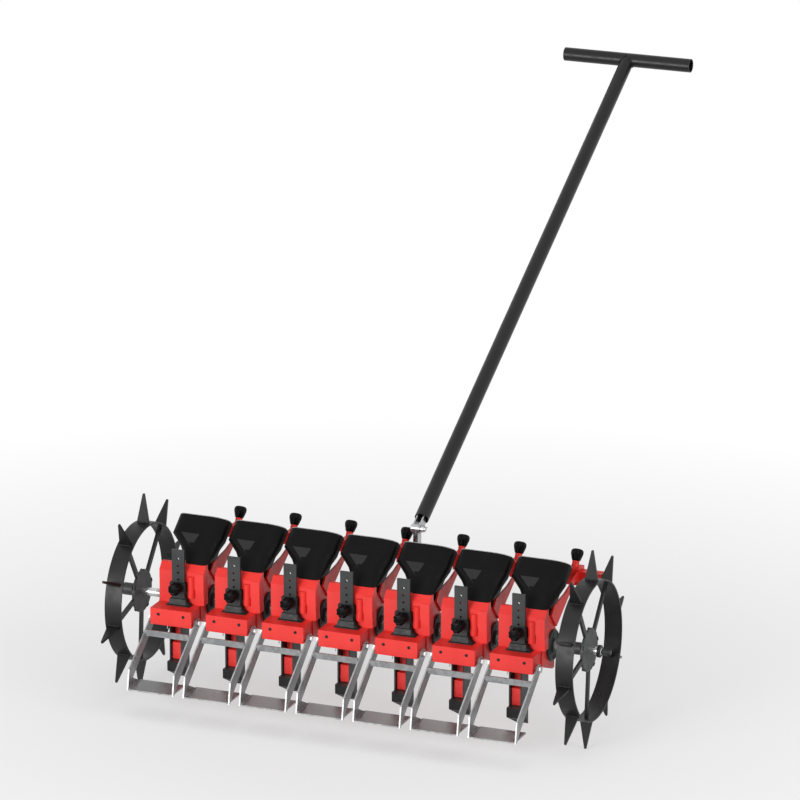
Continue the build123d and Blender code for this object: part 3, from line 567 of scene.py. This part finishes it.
def hopper_ring(at, size, down, inset=0.0):
    """One section of a size, less an inset, in a plane that holds X."""
    flat = rounded_rectangle(*(size - inset))
    return at + flat[:, :1] * X_AXIS + flat[:, 1:] * down


def waist(inset):
    """The section part of the way down from the shoulder to the foot. It is all but an oval, so that the
    wall above it is flat in a triangle that points down."""
    at = shoulder_at + WAIST_SHARE * (FOOT_AT - shoulder_at)
    size = MOUTH_SIZE + WAIST_SHARE * (FOOT_SIZE - MOUTH_SIZE)
    size[2:] = WAIST_ROUND * size[[0, 0, 1]]
    down = mouth_down + WAIST_SHARE * (foot_down - mouth_down)
    return hopper_ring(at, size, down / np.linalg.norm(down), inset)


def ruled(sections, steps):
    """Rings in even steps between each section and the next."""
    share = np.linspace(0, 1, steps, endpoint=False)[:, None, None]
    bands = [one + share * (other - one) for one, other in zip(sections[:-1], sections[1:])]
    return np.vstack(bands + [sections[-1][None]])


def plate(profile, left, right):
    """A flat plate: an outline in Y and Z carried along X."""
    outline = np.array([(0.0, y, z) for y, z in profile])
    return rings_to_shell(np.stack([outline + left * X_AXIS, outline + right * X_AXIS]) * MM)


def hopper_shell():
    """Outer wall up to the mouth, inner wall down to the foot, and a floor with the way out to the skirt."""
    outer = [
        hopper_ring(FOOT_AT, FOOT_SIZE, foot_down),
        waist(0.0),
        hopper_ring(shoulder_at, MOUTH_SIZE, mouth_down),
        hopper_ring(MOUTH_AT, MOUTH_SIZE, mouth_down),
    ]
    floor_at = FOOT_AT + np.array([0.0, 0.0, HOPPER_WALL])
    inner = [
        hopper_ring(MOUTH_AT, MOUTH_SIZE, mouth_down, HOPPER_WALL),
        hopper_ring(shoulder_at, MOUTH_SIZE, mouth_down, HOPPER_WALL),
        waist(HOPPER_WALL),
        hopper_ring(floor_at, FOOT_SIZE, foot_down, HOPPER_WALL),
    ]
    low, high = SKIRT_LEFT + HOPPER_WALL, SKIRT_RIGHT - HOPPER_WALL
    front, back = SKIRT_PROFILE[0][0] + HOPPER_WALL, SKIRT_PROFILE[1][0] - HOPPER_WALL
    hole = np.array([(high - low) / 2, (back - front) / 2, 1.0, 1.0, 1.0])
    hole_at = np.array([(low + high) / 2, (front + back) / 2, FOOT_AT[2]])
    way_out = [
        hopper_ring(hole_at + np.array([0.0, 0.0, HOPPER_WALL]), hole, foot_down),
        hopper_ring(hole_at, hole, foot_down),
    ]
    rings = np.vstack([ruled(outer, RULED_STEPS), ruled(inner, RULED_STEPS), np.stack(way_out)])
    return rings_to_shell(rings * MM, closed=True)


def hopper_skirt():
    """Two side plates and a back plate that reach down to the housing's sloping back."""
    top, corner, low = SKIRT_PROFILE
    strip = [(corner[0] - HOPPER_WALL, corner[1]), corner, low, (low[0] - HOPPER_WALL, low[1] + HOPPER_WALL)]
    return [
        plate(SKIRT_PROFILE, SKIRT_LEFT, SKIRT_LEFT + HOPPER_WALL),
        plate(SKIRT_PROFILE, SKIRT_RIGHT - HOPPER_WALL, SKIRT_RIGHT),
        plate(strip, SKIRT_LEFT + HOPPER_WALL, SKIRT_RIGHT - HOPPER_WALL),
    ]


def hopper_lip():
    """A bead along the rim, half sunk in the top of the wall; its pale grey is a painted highlight."""
    return tube_along(hopper_ring(MOUTH_AT, MOUTH_SIZE, mouth_down, HOPPER_WALL / 2) * MM, LIP_RADIUS,
                      around=10, closed=True)


def hopper_facet():
    """The flat triangle under the shoulder, a shallow pad that stands just proud of the wall, in a lighter black
    that paints the triangle's reflection of the bright floor.
    """
    corners = np.array(FACET_CORNERS)
    normal = np.cross(corners[1] - corners[0], corners[2] - corners[0])
    normal *= -np.sign(normal[1]) / np.linalg.norm(normal)
    centre = corners.mean(axis=0)
    face = centre + FACET_SHARE * (corners - centre) + FACET_FACE * normal
    rings = [corners - normal, corners + FACET_PROUD * normal, face]
    return rings_to_shell(np.stack(rings) * MM)


for row, at in zip(rows, row_at):
    shells = [moved(shell, at) for shell in [hopper_shell()] + hopper_skirt()]
    piece(f"hopper_shell_{row}", shells, "frame", hopper_plastic, ["hoppers"])
    piece(f"hopper_lip_{row}", [moved(hopper_lip(), at)], "frame", rim_highlight_plastic)
    piece(f"hopper_facet_{row}", [moved(hopper_facet(), at)], "frame", facet_painted_reflection)

# Rotor covers: a dished disc with a raised rim and hub

COVER_PROFILE = [
    (45.0, 12.0),
    (45.0, 30.4),
    (48.0, 30.4),
    (48.0, 32.5),
    (51.6, 32.5),
    (53.0, 31.2),
    (53.0, 29.2),
    (51.6, 27.6),
    (51.6, 20.4),
    (53.0, 19.0),
    (53.0, 12.0),
]
RIB_COUNT = 6
COVER_FACE = 51.5
RIB_INNER = 19.0
RIB_OUTER = 28.5
RIB_RADIUS = 0.9


def rotor_cover(at):
    """One cover and the shallow ribs between its hub and rim."""
    profile = np.array([(along, radius, 0) for along, radius in COVER_PROFILE])
    shells = [turned(profile, at, X_AXIS, around=72, closed=True)]
    for rib in range(RIB_COUNT):
        turn = 2 * pi * (rib + 0.5) / RIB_COUNT
        out = np.array([0.0, cos(turn), sin(turn)])
        share = np.linspace(0, 1, 6)[:, None]
        path = COVER_FACE * X_AXIS + out * (RIB_INNER + (RIB_OUTER - RIB_INNER) * share)
        shells.append(tube_along(at + path * MM, RIB_RADIUS))
    return shells


covers = [shell for at in row_at for shell in rotor_cover(at)]
piece("rotor_cover_discs", covers, "frame", cover_plastic, ["rotor_covers"])

# Box screws: pan heads with a hexagon socket

SCREW_X = 27.85
SCREW_Z = -7.4
SCREW_FACE = -105.0
SCREW_PROFILE = [
    (-9.0, 1.2, 0),
    (-8.0, 2.0, 0),
    (0.0, 2.0, 0),
    (0.0, 3.4, 0),
    (0.5, 3.4, 0),
    (1.5, 2.4, 0),
    (1.5, 1.45, 1),
    (0.3, 1.45, 1),
    (0.3, 0.2, 0),
]

screws = []
for at in row_at:
    for side in (-1, 1):
        head_at = at + np.array([side * SCREW_X, SCREW_FACE, SCREW_Z]) * MM
        screws.append(turned(rounded(SCREW_PROFILE, 0.35, 3), head_at, (0, -1, 0), hexagon, around=36))
piece("box_screw_heads", screws, "frame", black_paint, ["box_screws"])

# Wiper brushes: a holder on the throat's wall and rows of bristles that lean over the rotor

BRUSH_LEFT = 10.0
BRUSH_RIGHT = 43.0
BRUSH_WALL = -18.0
BRUSH_TOP = 44.8
BRUSH_FOOT = 29.6
BRISTLES_ALONG = 34
BRISTLES_DEEP = 3
BAR_RADIUS = 1.9
BRISTLE_RADIUS = 0.35


def wiper_brush(at):
    """The holder's bar, and bristles that run from it down and back towards the rotor."""
    bar = np.array([[x, BRUSH_WALL + 2.2, BRUSH_TOP - 3.0] for x in (BRUSH_LEFT, BRUSH_RIGHT)])
    shells = [tube_along(at + bar * MM, BAR_RADIUS, around=12)]
    for place in np.linspace(BRUSH_LEFT + 0.8, BRUSH_RIGHT - 0.8, BRISTLES_ALONG):
        for deep in range(BRISTLES_DEEP):
            root = np.array([place, BRUSH_WALL + 1.2 + 0.9 * deep, BRUSH_TOP - 3.5])
            tip = np.array(
                [place + 0.25 * (deep - 1), BRUSH_WALL + 3.4 + 1.5 * deep, BRUSH_FOOT + 0.2 * deep]
            )
            path = np.stack([root, (root + tip) / 2, tip])
            shells.append(tube_along(at + path * MM, BRISTLE_RADIUS, around=4))
    return shells


brushes = [shell for at in row_at for shell in wiper_brush(at)]
piece("wiper_bristles", brushes, "frame", bristle, ["wiper_brushes"])

# Wheels: weld beads along the spikes, at both ends of the spokes, and round the hub

RIM_RADIUS = 146.0
RIM_SHEET = 3.5
SPIKES = 10
SPIKE_PHASE = radians(4.4)
SPIKE_SHEET = 5.0
SPIKE_HALF = 13.0
SPOKES = 5
SPOKE_HALF = 4.6
SPOKE_FACE = 3.0
DISC_RADIUS = 45.0
BARREL_RADIUS = 13.0
DISC_HALF = 2.5
SPIKE_BEAD = 1.7
SPOKE_BEAD = 1.3
HUB_BEAD = 1.6


def wheel_welds(node):
    """Beads on both faces of each spike, and across both ends of each spoke."""
    at = np.array([middle(node)[0], *axle_at[1:]])
    shells = []
    for spike in range(SPIKES):
        turn = SPIKE_PHASE + 2 * pi * spike / SPIKES
        out = np.array([0.0, sin(turn), cos(turn)])
        flat = np.array([0.0, -cos(turn), sin(turn)])
        for side in (-1, 1):
            foot = at + ((RIM_RADIUS + 0.4) * out + side * (SPIKE_SHEET / 2 + 0.6) * flat) * MM
            shells.append(weld(foot - SPIKE_HALF * MM * X_AXIS, foot + SPIKE_HALF * MM * X_AXIS, SPIKE_BEAD))
    for spoke in range(SPOKES):
        turn = pi / 2 - SPIKE_PHASE + 2 * pi * (spoke - 1) / SPOKES
        out = np.array([0.0, cos(turn), sin(turn)])
        flat = np.array([0.0, -sin(turn), cos(turn)])
        for side in (-1, 1):
            for radius in (RIM_RADIUS - RIM_SHEET - 0.4, DISC_RADIUS + 0.2):
                foot = at + (radius * out + side * (SPOKE_FACE - 0.2) * X_AXIS) * MM
                shells.append(weld(foot - SPOKE_HALF * MM * flat, foot + SPOKE_HALF * MM * flat, SPOKE_BEAD))
    return shells


for side in ("left", "right"):
    piece(f"wheel_{side}_welds", wheel_welds(f"wheel_{side}"), "axle", black_paint)
    disc_at = np.array([middle(f"wheel_{side}")[0], *axle_at[1:]])
    ring = weld_ring(disc_at - (DISC_HALF + 0.6) * MM * X_AXIS, X_AXIS, BARREL_RADIUS + 0.5, HUB_BEAD)
    piece(f"hub_{side}_weld", [ring], "axle", hub_paint)

# Handle: a saddle weld where the tube meets the grip, and welds on the bracket's lug

TUBE_RADIUS = 15.0
SADDLE_BEAD = 1.7
hinge_at = np.array(joints["handle_tilt"]["pos_m"])
grip_at = middle("handle_grip")
handle_dir = (grip_at - hinge_at) / np.linalg.norm(grip_at - hinge_at)


def saddle_weld():
    """The line where two tubes of one size cross at a right angle, as a closed bead."""
    angle = np.linspace(0, 2 * pi, 96, endpoint=False)[:, None]
    across = np.cross(handle_dir, X_AXIS)
    reach = TUBE_RADIUS + 0.5
    path = -np.abs(np.cos(angle)) * handle_dir + np.cos(angle) * X_AXIS + np.sin(angle) * across
    return tube_along(grip_at + reach * MM * path, SADDLE_BEAD, WELD_RIPPLE, closed=True)


piece("handle_saddle_weld", [saddle_weld()], "handle", tube_paint)

LUG_HALF = 5.0
LUG_DEPTH = 10.0
RING_TOP = 17.0
LUG_BEAD = 1.4


def lug_welds():
    """A bead along each face of the lug, where it stands on the ring round the bar."""
    bar_at = middle("rear_bar")
    foot_z = bar_at[2] + (RING_TOP + 0.4) * MM
    along = np.array([0.0, LUG_DEPTH * MM, 0.0])
    shells = []
    for side in (-1, 1):
        foot = np.array([hinge_at[0] + side * (LUG_HALF + 0.9) * MM, bar_at[1], foot_z])
        shells.append(weld(foot - along, foot + along, LUG_BEAD))
    return shells


piece("bracket_welds", lug_welds(), "frame", bright_steel)

# Wing nut: a tapered barrel with two rounded ears

NUT_LENGTH = 8.0
NUT_RADIUS = 7.3
BOLT_CLEAR = 5.1
EAR_START = 5.0
EAR_REACH = 8.6
EAR_FOOT = 4.2
EAR_FLARE = 3.6
EAR_HALF_WIDTH = 3.2
EAR_HALF_SHEET = 1.5


def wing_ear(at, side):
    """An ear as a row of upright ovals that fan out and away from the barrel."""
    share = np.linspace(0, 1, 14)
    outward = EAR_START + EAR_REACH * share
    along = EAR_FOOT + EAR_FLARE * share**1.3
    half_wide = EAR_HALF_WIDTH * np.sqrt(np.clip(1 - share**5, 0.02, 1))
    half_thick = EAR_HALF_SHEET * np.sqrt(np.clip(1 - share**7, 0.05, 1)) * (1 - 0.25 * share)
    angle = np.linspace(0, 2 * pi, 20, endpoint=False)
    rings = np.empty((len(share), len(angle), 3))
    rings[:, :, 0] = along[:, None] + half_wide[:, None] * np.cos(angle)
    rings[:, :, 1] = side * outward[:, None]
    rings[:, :, 2] = half_thick[:, None] * np.sin(angle)
    return rings_to_shell(at + rings * MM)


nut_at = np.array([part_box("wing_nut")[0].x, *hinge_at[1:]])
barrel = np.array([
    (0.0, BOLT_CLEAR, 0),
    (0.0, NUT_RADIUS, 0),
    (1.5, NUT_RADIUS, 0),
    (NUT_LENGTH, 6.3, 0),
    (NUT_LENGTH, BOLT_CLEAR, 0),
])
nut_shells = [turned(barrel, nut_at, X_AXIS, closed=True), wing_ear(nut_at, 1), wing_ear(nut_at, -1)]
piece("wing_nut_ears", nut_shells, "wing_nut", bright_steel, ["wing_nut"])

# Drag frames: side plates with a round eye, the cross strip and the pan, all of one sheet, and their beads

SHEET = 3.0
DRAG_INNER = 49.0
PIVOT_AT = np.array([-83.0, -25.0])
EYE_RADIUS = 11.0
EYE_START = radians(123.7)
STRIP_FRONT = -126.5
STRIP_Z = -43.0
STRIP_HALF = 6.5
PAN_FRONT = -213.0
PAN_BACK = -148.0
PAN_TOP = -138.0
PAN_LOW = -141.0
LEFT_FOOT = [(-188.0, -121.0), (PAN_BACK, PAN_LOW), (PAN_FRONT, PAN_LOW), (-205.0, -98.0)]
RIGHT_FOOT = [(-188.0, -121.0), (-208.0, PAN_LOW), (PAN_FRONT, PAN_LOW), (-205.0, -98.0)]
DRAG_BEAD = 1.2
BEAD_INSET = 0.4
BEAD_SHORT = 4.0
STRIP_BEAD_Y = -123.0
STRIP_BEAD_HALF = 6.0


def sheet(outline, left, right):
    """A flat sheet cut to an outline in Y and Z, from one X to another."""
    count = len(outline)
    flat = np.array([(0.0, y, z) for y, z in outline])
    points = np.vstack([flat + left * X_AXIS, flat + right * X_AXIS]) * MM
    index = np.arange(count)
    beside = np.roll(index, -1)
    faces = np.stack([index, beside, beside + count, index + count], axis=-1).tolist()
    return points, faces + [index.tolist(), (index + count).tolist()]


def drag_frame():
    """Two side plates with a round eye at the pivot, the cross strip between them and the flat pan. The right
    plate tapers to the pan's front corner, and the left one follows the pan to its back edge."""
    turn = EYE_START - np.linspace(0, pi, 15)
    eye = PIVOT_AT + EYE_RADIUS * np.stack([np.cos(turn), np.sin(turn)], axis=-1)
    front, back = STRIP_FRONT, STRIP_FRONT + SHEET
    low, top = STRIP_Z - STRIP_HALF, STRIP_Z + STRIP_HALF
    strip = [(front, low), (front, top), (back, top), (back, low)]
    pan = [(PAN_FRONT, PAN_LOW), (PAN_FRONT, PAN_TOP), (PAN_BACK, PAN_TOP), (PAN_BACK, PAN_LOW)]
    return [
        sheet(eye.tolist() + LEFT_FOOT, -DRAG_INNER - SHEET, -DRAG_INNER),
        sheet(eye.tolist() + RIGHT_FOOT, DRAG_INNER, DRAG_INNER + SHEET),
        sheet(strip, -DRAG_INNER, DRAG_INNER),
        sheet(pan, -DRAG_INNER, DRAG_INNER),
    ]


def drag_welds(at):
    """Beads inside the side plates of one drag frame: at both ends of the strip, and on the pan's left."""
    shells = []
    for side in (-1, 1):
        strip = np.array([side * (DRAG_INNER - BEAD_INSET), STRIP_BEAD_Y, STRIP_Z])
        up = np.array([0.0, 0.0, STRIP_BEAD_HALF])
        shells.append(weld(at + (strip - up) * MM, at + (strip + up) * MM, DRAG_BEAD))
    ends = (PAN_FRONT + BEAD_SHORT, PAN_BACK - BEAD_SHORT)
    front, back = [np.array([BEAD_INSET - DRAG_INNER, y, PAN_TOP + 0.3]) for y in ends]
    shells.append(weld(at + front * MM, at + back * MM, DRAG_BEAD))
    return shells


for row, at in zip(rows, row_at):
    left, right, strip, pan = [moved(shell, at) for shell in drag_frame()]
    piece(f"drag_sheets_{row}", [left, right, pan], f"drag_frame_{row}", sheet_zinc,
          [f"drag_frame_{row}"])
    # The cross strip in the darker grey copy of the sheet: painted shade.
    piece(f"drag_strip_{row}", [strip], f"drag_frame_{row}", strip_zinc_painted_shade)
    piece(f"drag_welds_{row}", drag_welds(at), f"drag_frame_{row}", sheet_zinc)

# Axle: a ground shaft with the collar's seat and a groove, and the blackened rod past it

SHAFT_START = -519.5
SHAFT_END = 523.0
SEAT_END = 529.5
GROOVE_END = 530.5
ROD_END = 550.5
SHAFT_RADIUS = 9.0

shaft = [(SHAFT_START, 1.0, 0), (SHAFT_START, SHAFT_RADIUS - 0.8, 0), (SHAFT_START + 0.8, SHAFT_RADIUS, 0),
         (SHAFT_END - 0.6, SHAFT_RADIUS, 0), (SHAFT_END, SHAFT_RADIUS - 0.6, 0), (SHAFT_END, 6.0, 0),
         (SEAT_END, 6.0, 0), (SEAT_END, 4.5, 0), (GROOVE_END, 4.5, 0)]
rod = [(SEAT_END, 4.4, 0), (GROOVE_END, 4.4, 0), (GROOVE_END, 5.0, 0), (ROD_END - 1.0, 5.0, 0),
       (ROD_END, 4.0, 0), (ROD_END, 0.5, 0)]
piece("axle_shaft_ground", [turned(shaft, axle_at, X_AXIS)], "axle", chromed_steel,
      ["axle_shaft"])
piece("axle_rod_blackened", [turned(rod, axle_at, X_AXIS, around=32)], "axle", hub_paint)

# Feet of the depth guides: a base plate on the box, open round the depth bar, with a gusset on its right,
# and the pin under each box

BOX_TOP = 5.0
FOOT_TOP = 6.4
FOOT_BACK = -57.3
FOOT_FRONT = -78.0
SLOT_FRONT = -65.8
SLOT_HALF = 14.4
FOOT_LEFT = -23.0
FOOT_RIGHT = 30.0
GUSSET = [(17.3, BOX_TOP), (17.3, 24.0), (19.5, 14.0), (24.0, 8.5), (29.5, BOX_TOP)]
GUSSET_FRONT = -70.0
GUSSET_BACK = -58.0
PIN_PATH = [(-9.0, -99.0, -26.5), (-9.6, -98.0, -31.0), (-11.0, -97.0, -36.0), (-12.6, -96.0, -40.5)]
PIN_RADIUS = 1.2
PIN_BEND = 2.0


def foot_plate(back, left, right):
    """A thin plate on the box, from its back edge to the foot's front."""
    outline = [(back, BOX_TOP), (back, FOOT_TOP), (FOOT_FRONT, FOOT_TOP), (FOOT_FRONT, BOX_TOP)]
    return sheet(outline, left, right)


def guide_foot():
    """The plates left, right and in front of the bar's slot, and the gusset's curved edge carried along Y."""
    outline = np.array([(x, 0.0, z) for x, z in GUSSET])
    y_axis = np.array([0.0, 1.0, 0.0])
    gusset = rings_to_shell(np.stack([outline + GUSSET_FRONT * y_axis, outline + GUSSET_BACK * y_axis]) * MM)
    return [foot_plate(FOOT_BACK, FOOT_LEFT, -SLOT_HALF), foot_plate(FOOT_BACK, SLOT_HALF, FOOT_RIGHT),
            foot_plate(SLOT_FRONT, -SLOT_HALF, SLOT_HALF), gusset]


for row, at in zip(rows, row_at):
    foot = [moved(shell, at) for shell in guide_foot()]
    piece(f"guide_foot_{row}", foot, "frame", guide_plastic)
    pin = tube_along(at + rounded(PIN_PATH, PIN_BEND) * MM, PIN_RADIUS)
    piece(f"box_pin_{row}", [pin], "frame", chromed_steel)

# Coulters: each CAD mesh copied, its sole drawn straight from the nose to the heel, and the shoe in near-black as
# painted shade

SHOE_TOP = -112.0
SOLE_START = (-94.0, -132.0)
SOLE_END = (-43.0, -159.0)
SOLE_REACH = 0.5
MERGE_METRES = 1e-6


def coulter(row, at):
    """The merged copy of a coulter. Every corner below the nose goes to the sole's straight line, and the shoe's
    faces take the near-black of painted shade.
    """
    node = frame["nodes"][f"coulter_{row}"]
    build = bmesh.new()
    build.from_mesh(node.data)
    bmesh.ops.remove_doubles(build, verts=build.verts, dist=MERGE_METRES)
    mesh = bpy.data.meshes.new(f"coulter_shoe_{row}")
    build.to_mesh(mesh)
    build.free()
    corners = np.empty(len(mesh.vertices) * 3)
    mesh.vertices.foreach_get("co", corners)
    local = (corners.reshape(-1, 3) - at) / MM
    low = local[:, 2] < SOLE_START[1] - SOLE_REACH
    slope = (SOLE_END[1] - SOLE_START[1]) / (SOLE_END[0] - SOLE_START[0])
    local[low, 2] = SOLE_START[1] + slope * (local[low, 1] - SOLE_START[0])
    mesh.vertices.foreach_set("co", (at + local * MM).ravel())
    centres = np.empty(len(mesh.polygons) * 3)
    mesh.polygons.foreach_get("center", centres)
    mesh.materials.clear()
    mesh.materials.append(hub_paint)
    mesh.materials.append(shadow_paint)
    painted_shade_in_shoe = centres.reshape(-1, 3)[:, 2] < at[2] + (SHOE_TOP - SOLE_REACH) * MM
    mesh.polygons.foreach_set("material_index", painted_shade_in_shoe.astype(int))
    mesh.update()
    mesh.shade_flat()
    made = bpy.data.objects.new(f"coulter_shoe_{row}", mesh)
    bpy.context.scene.collection.objects.link(made)
    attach(made, f"coulter_{row}")
    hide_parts(f"coulter_{row}")


for row, at in zip(rows, row_at):
    coulter(row, at)

# Studio: white floor and world, a low soft light in front, one above and one on the right

FLOOR_RADIUS = 40.0
FLOOR_MIDDLE = -0.65
FADE_START = 0.35
FADE_END = 2.1
NEAR_WHITE = 0.48
PAPER = 0.86
WORLD_LEVEL = 0.28
LIGHT_DISTANCE = 5.0


def studio_floor():
    """A pale disc that keeps the shadow near the machine and fades to plain white further out."""
    angle = np.linspace(0, 2 * pi, 64, endpoint=False)
    rim = np.stack([np.cos(angle), np.sin(angle), 0 * angle], axis=-1) * FLOOR_RADIUS
    mesh = bpy.data.meshes.new("studio_floor")
    mesh.from_pydata(rim.tolist(), [], [list(range(len(angle)))])
    floor = bpy.data.objects.new("studio_floor", mesh)
    bpy.context.scene.collection.objects.link(floor)
    material = bpy.data.materials.new("matt_white_paper")
    material.use_nodes = True
    material.node_tree.nodes.clear()
    place = add(material, "ShaderNodeTexCoord").outputs["Object"]
    away = add(material, "ShaderNodeVectorMath", {0: place}, operation="LENGTH").outputs["Value"]
    fade = add(
        material,
        "ShaderNodeMapRange",
        {"Value": away, "From Min": FADE_START, "From Max": FADE_END, "To Min": NEAR_WHITE},
    ).outputs[0]
    matt = add(material, "ShaderNodeBsdfDiffuse", {"Color": (PAPER, PAPER, PAPER, 1.0)}).outputs[0]
    white = add(material, "ShaderNodeEmission", {"Color": (1, 1, 1, 1), "Strength": 1.0}).outputs[0]
    share = flat_white(material, fade)
    mixed = add(material, "ShaderNodeMixShader", {0: share, 1: matt, 2: white}).outputs[0]
    add(material, "ShaderNodeOutputMaterial", {"Surface": mixed})
    mesh.materials.append(material)
    floor.location = (0.0, FLOOR_MIDDLE, 0.0)


def studio_world(level):
    """White to the camera and to reflections, and an even level of light for everything else."""
    world = bpy.data.worlds.new("studio")
    bpy.context.scene.world = world
    world.use_nodes = True
    world.node_tree.nodes.clear()
    dim = add(world, "ShaderNodeBackground", {"Color": (1, 1, 1, 1), "Strength": level}).outputs[0]
    white = add(world, "ShaderNodeBackground", {"Color": (1, 1, 1, 1), "Strength": 1.0}).outputs[0]
    share = flat_white(world, 1.0)
    mixed = add(world, "ShaderNodeMixShader", {0: share, 1: dim, 2: white}).outputs[0]
    add(world, "ShaderNodeOutputWorld", {"Surface": mixed})


def soft_light(name, azimuth, elevation, size, level):
    """A square soft box aimed at the machine. Its level is the share of full white that it gives a surface
    facing it."""
    lamp = bpy.data.lights.new(name, "AREA")
    lamp.size = size
    lamp.energy = level * (pi * LIGHT_DISTANCE) ** 2
    light = bpy.data.objects.new(name, lamp)
    bpy.context.scene.collection.objects.link(light)
    light.location = aim_at + LIGHT_DISTANCE * view_direction(azimuth, elevation)
    light.rotation_euler = (pi / 2 - radians(elevation), 0, radians(azimuth))


def view_direction(azimuth, elevation):
    """The unit vector from the machine towards an eye at that azimuth and elevation, in degrees."""
    turn, rise = radians(azimuth), radians(elevation)
    return np.array([sin(turn) * cos(rise), -cos(turn) * cos(rise), sin(rise)])


# Camera at the photograph's place, worked out from the two wheels and the row of boxes
CAMERA_AZIMUTH = 21.94
CAMERA_ELEVATION = 17.12
CAMERA_DISTANCE = 12.292
CAMERA_TARGET = np.array([91.3, 0.0, 480.8])
FOCAL_PIXELS = 6081
IMAGE_WIDTH = 800
SENSOR_WIDTH = 36.0
aim_at = axle_at + CAMERA_TARGET * MM

studio_floor()
studio_world(WORLD_LEVEL)
soft_light("front_box", azimuth=-20, elevation=8, size=2.4, level=0.80)
soft_light("top_box", azimuth=10, elevation=68, size=2.6, level=0.14)
soft_light("right_box", azimuth=75, elevation=20, size=2.4, level=0.36)

camera_data = bpy.data.cameras.new("camera")
camera_data.sensor_width = SENSOR_WIDTH
camera_data.lens = FOCAL_PIXELS * SENSOR_WIDTH / IMAGE_WIDTH
camera_data.clip_end = 100
camera = bpy.data.objects.new("camera", camera_data)
bpy.context.scene.collection.objects.link(camera)
camera.location = aim_at + CAMERA_DISTANCE * view_direction(CAMERA_AZIMUTH, CAMERA_ELEVATION)
camera.rotation_euler = (pi / 2 - radians(CAMERA_ELEVATION), 0, radians(CAMERA_AZIMUTH))
bpy.context.scene.camera = camera
bpy.context.scene.view_settings.view_transform = "Standard"
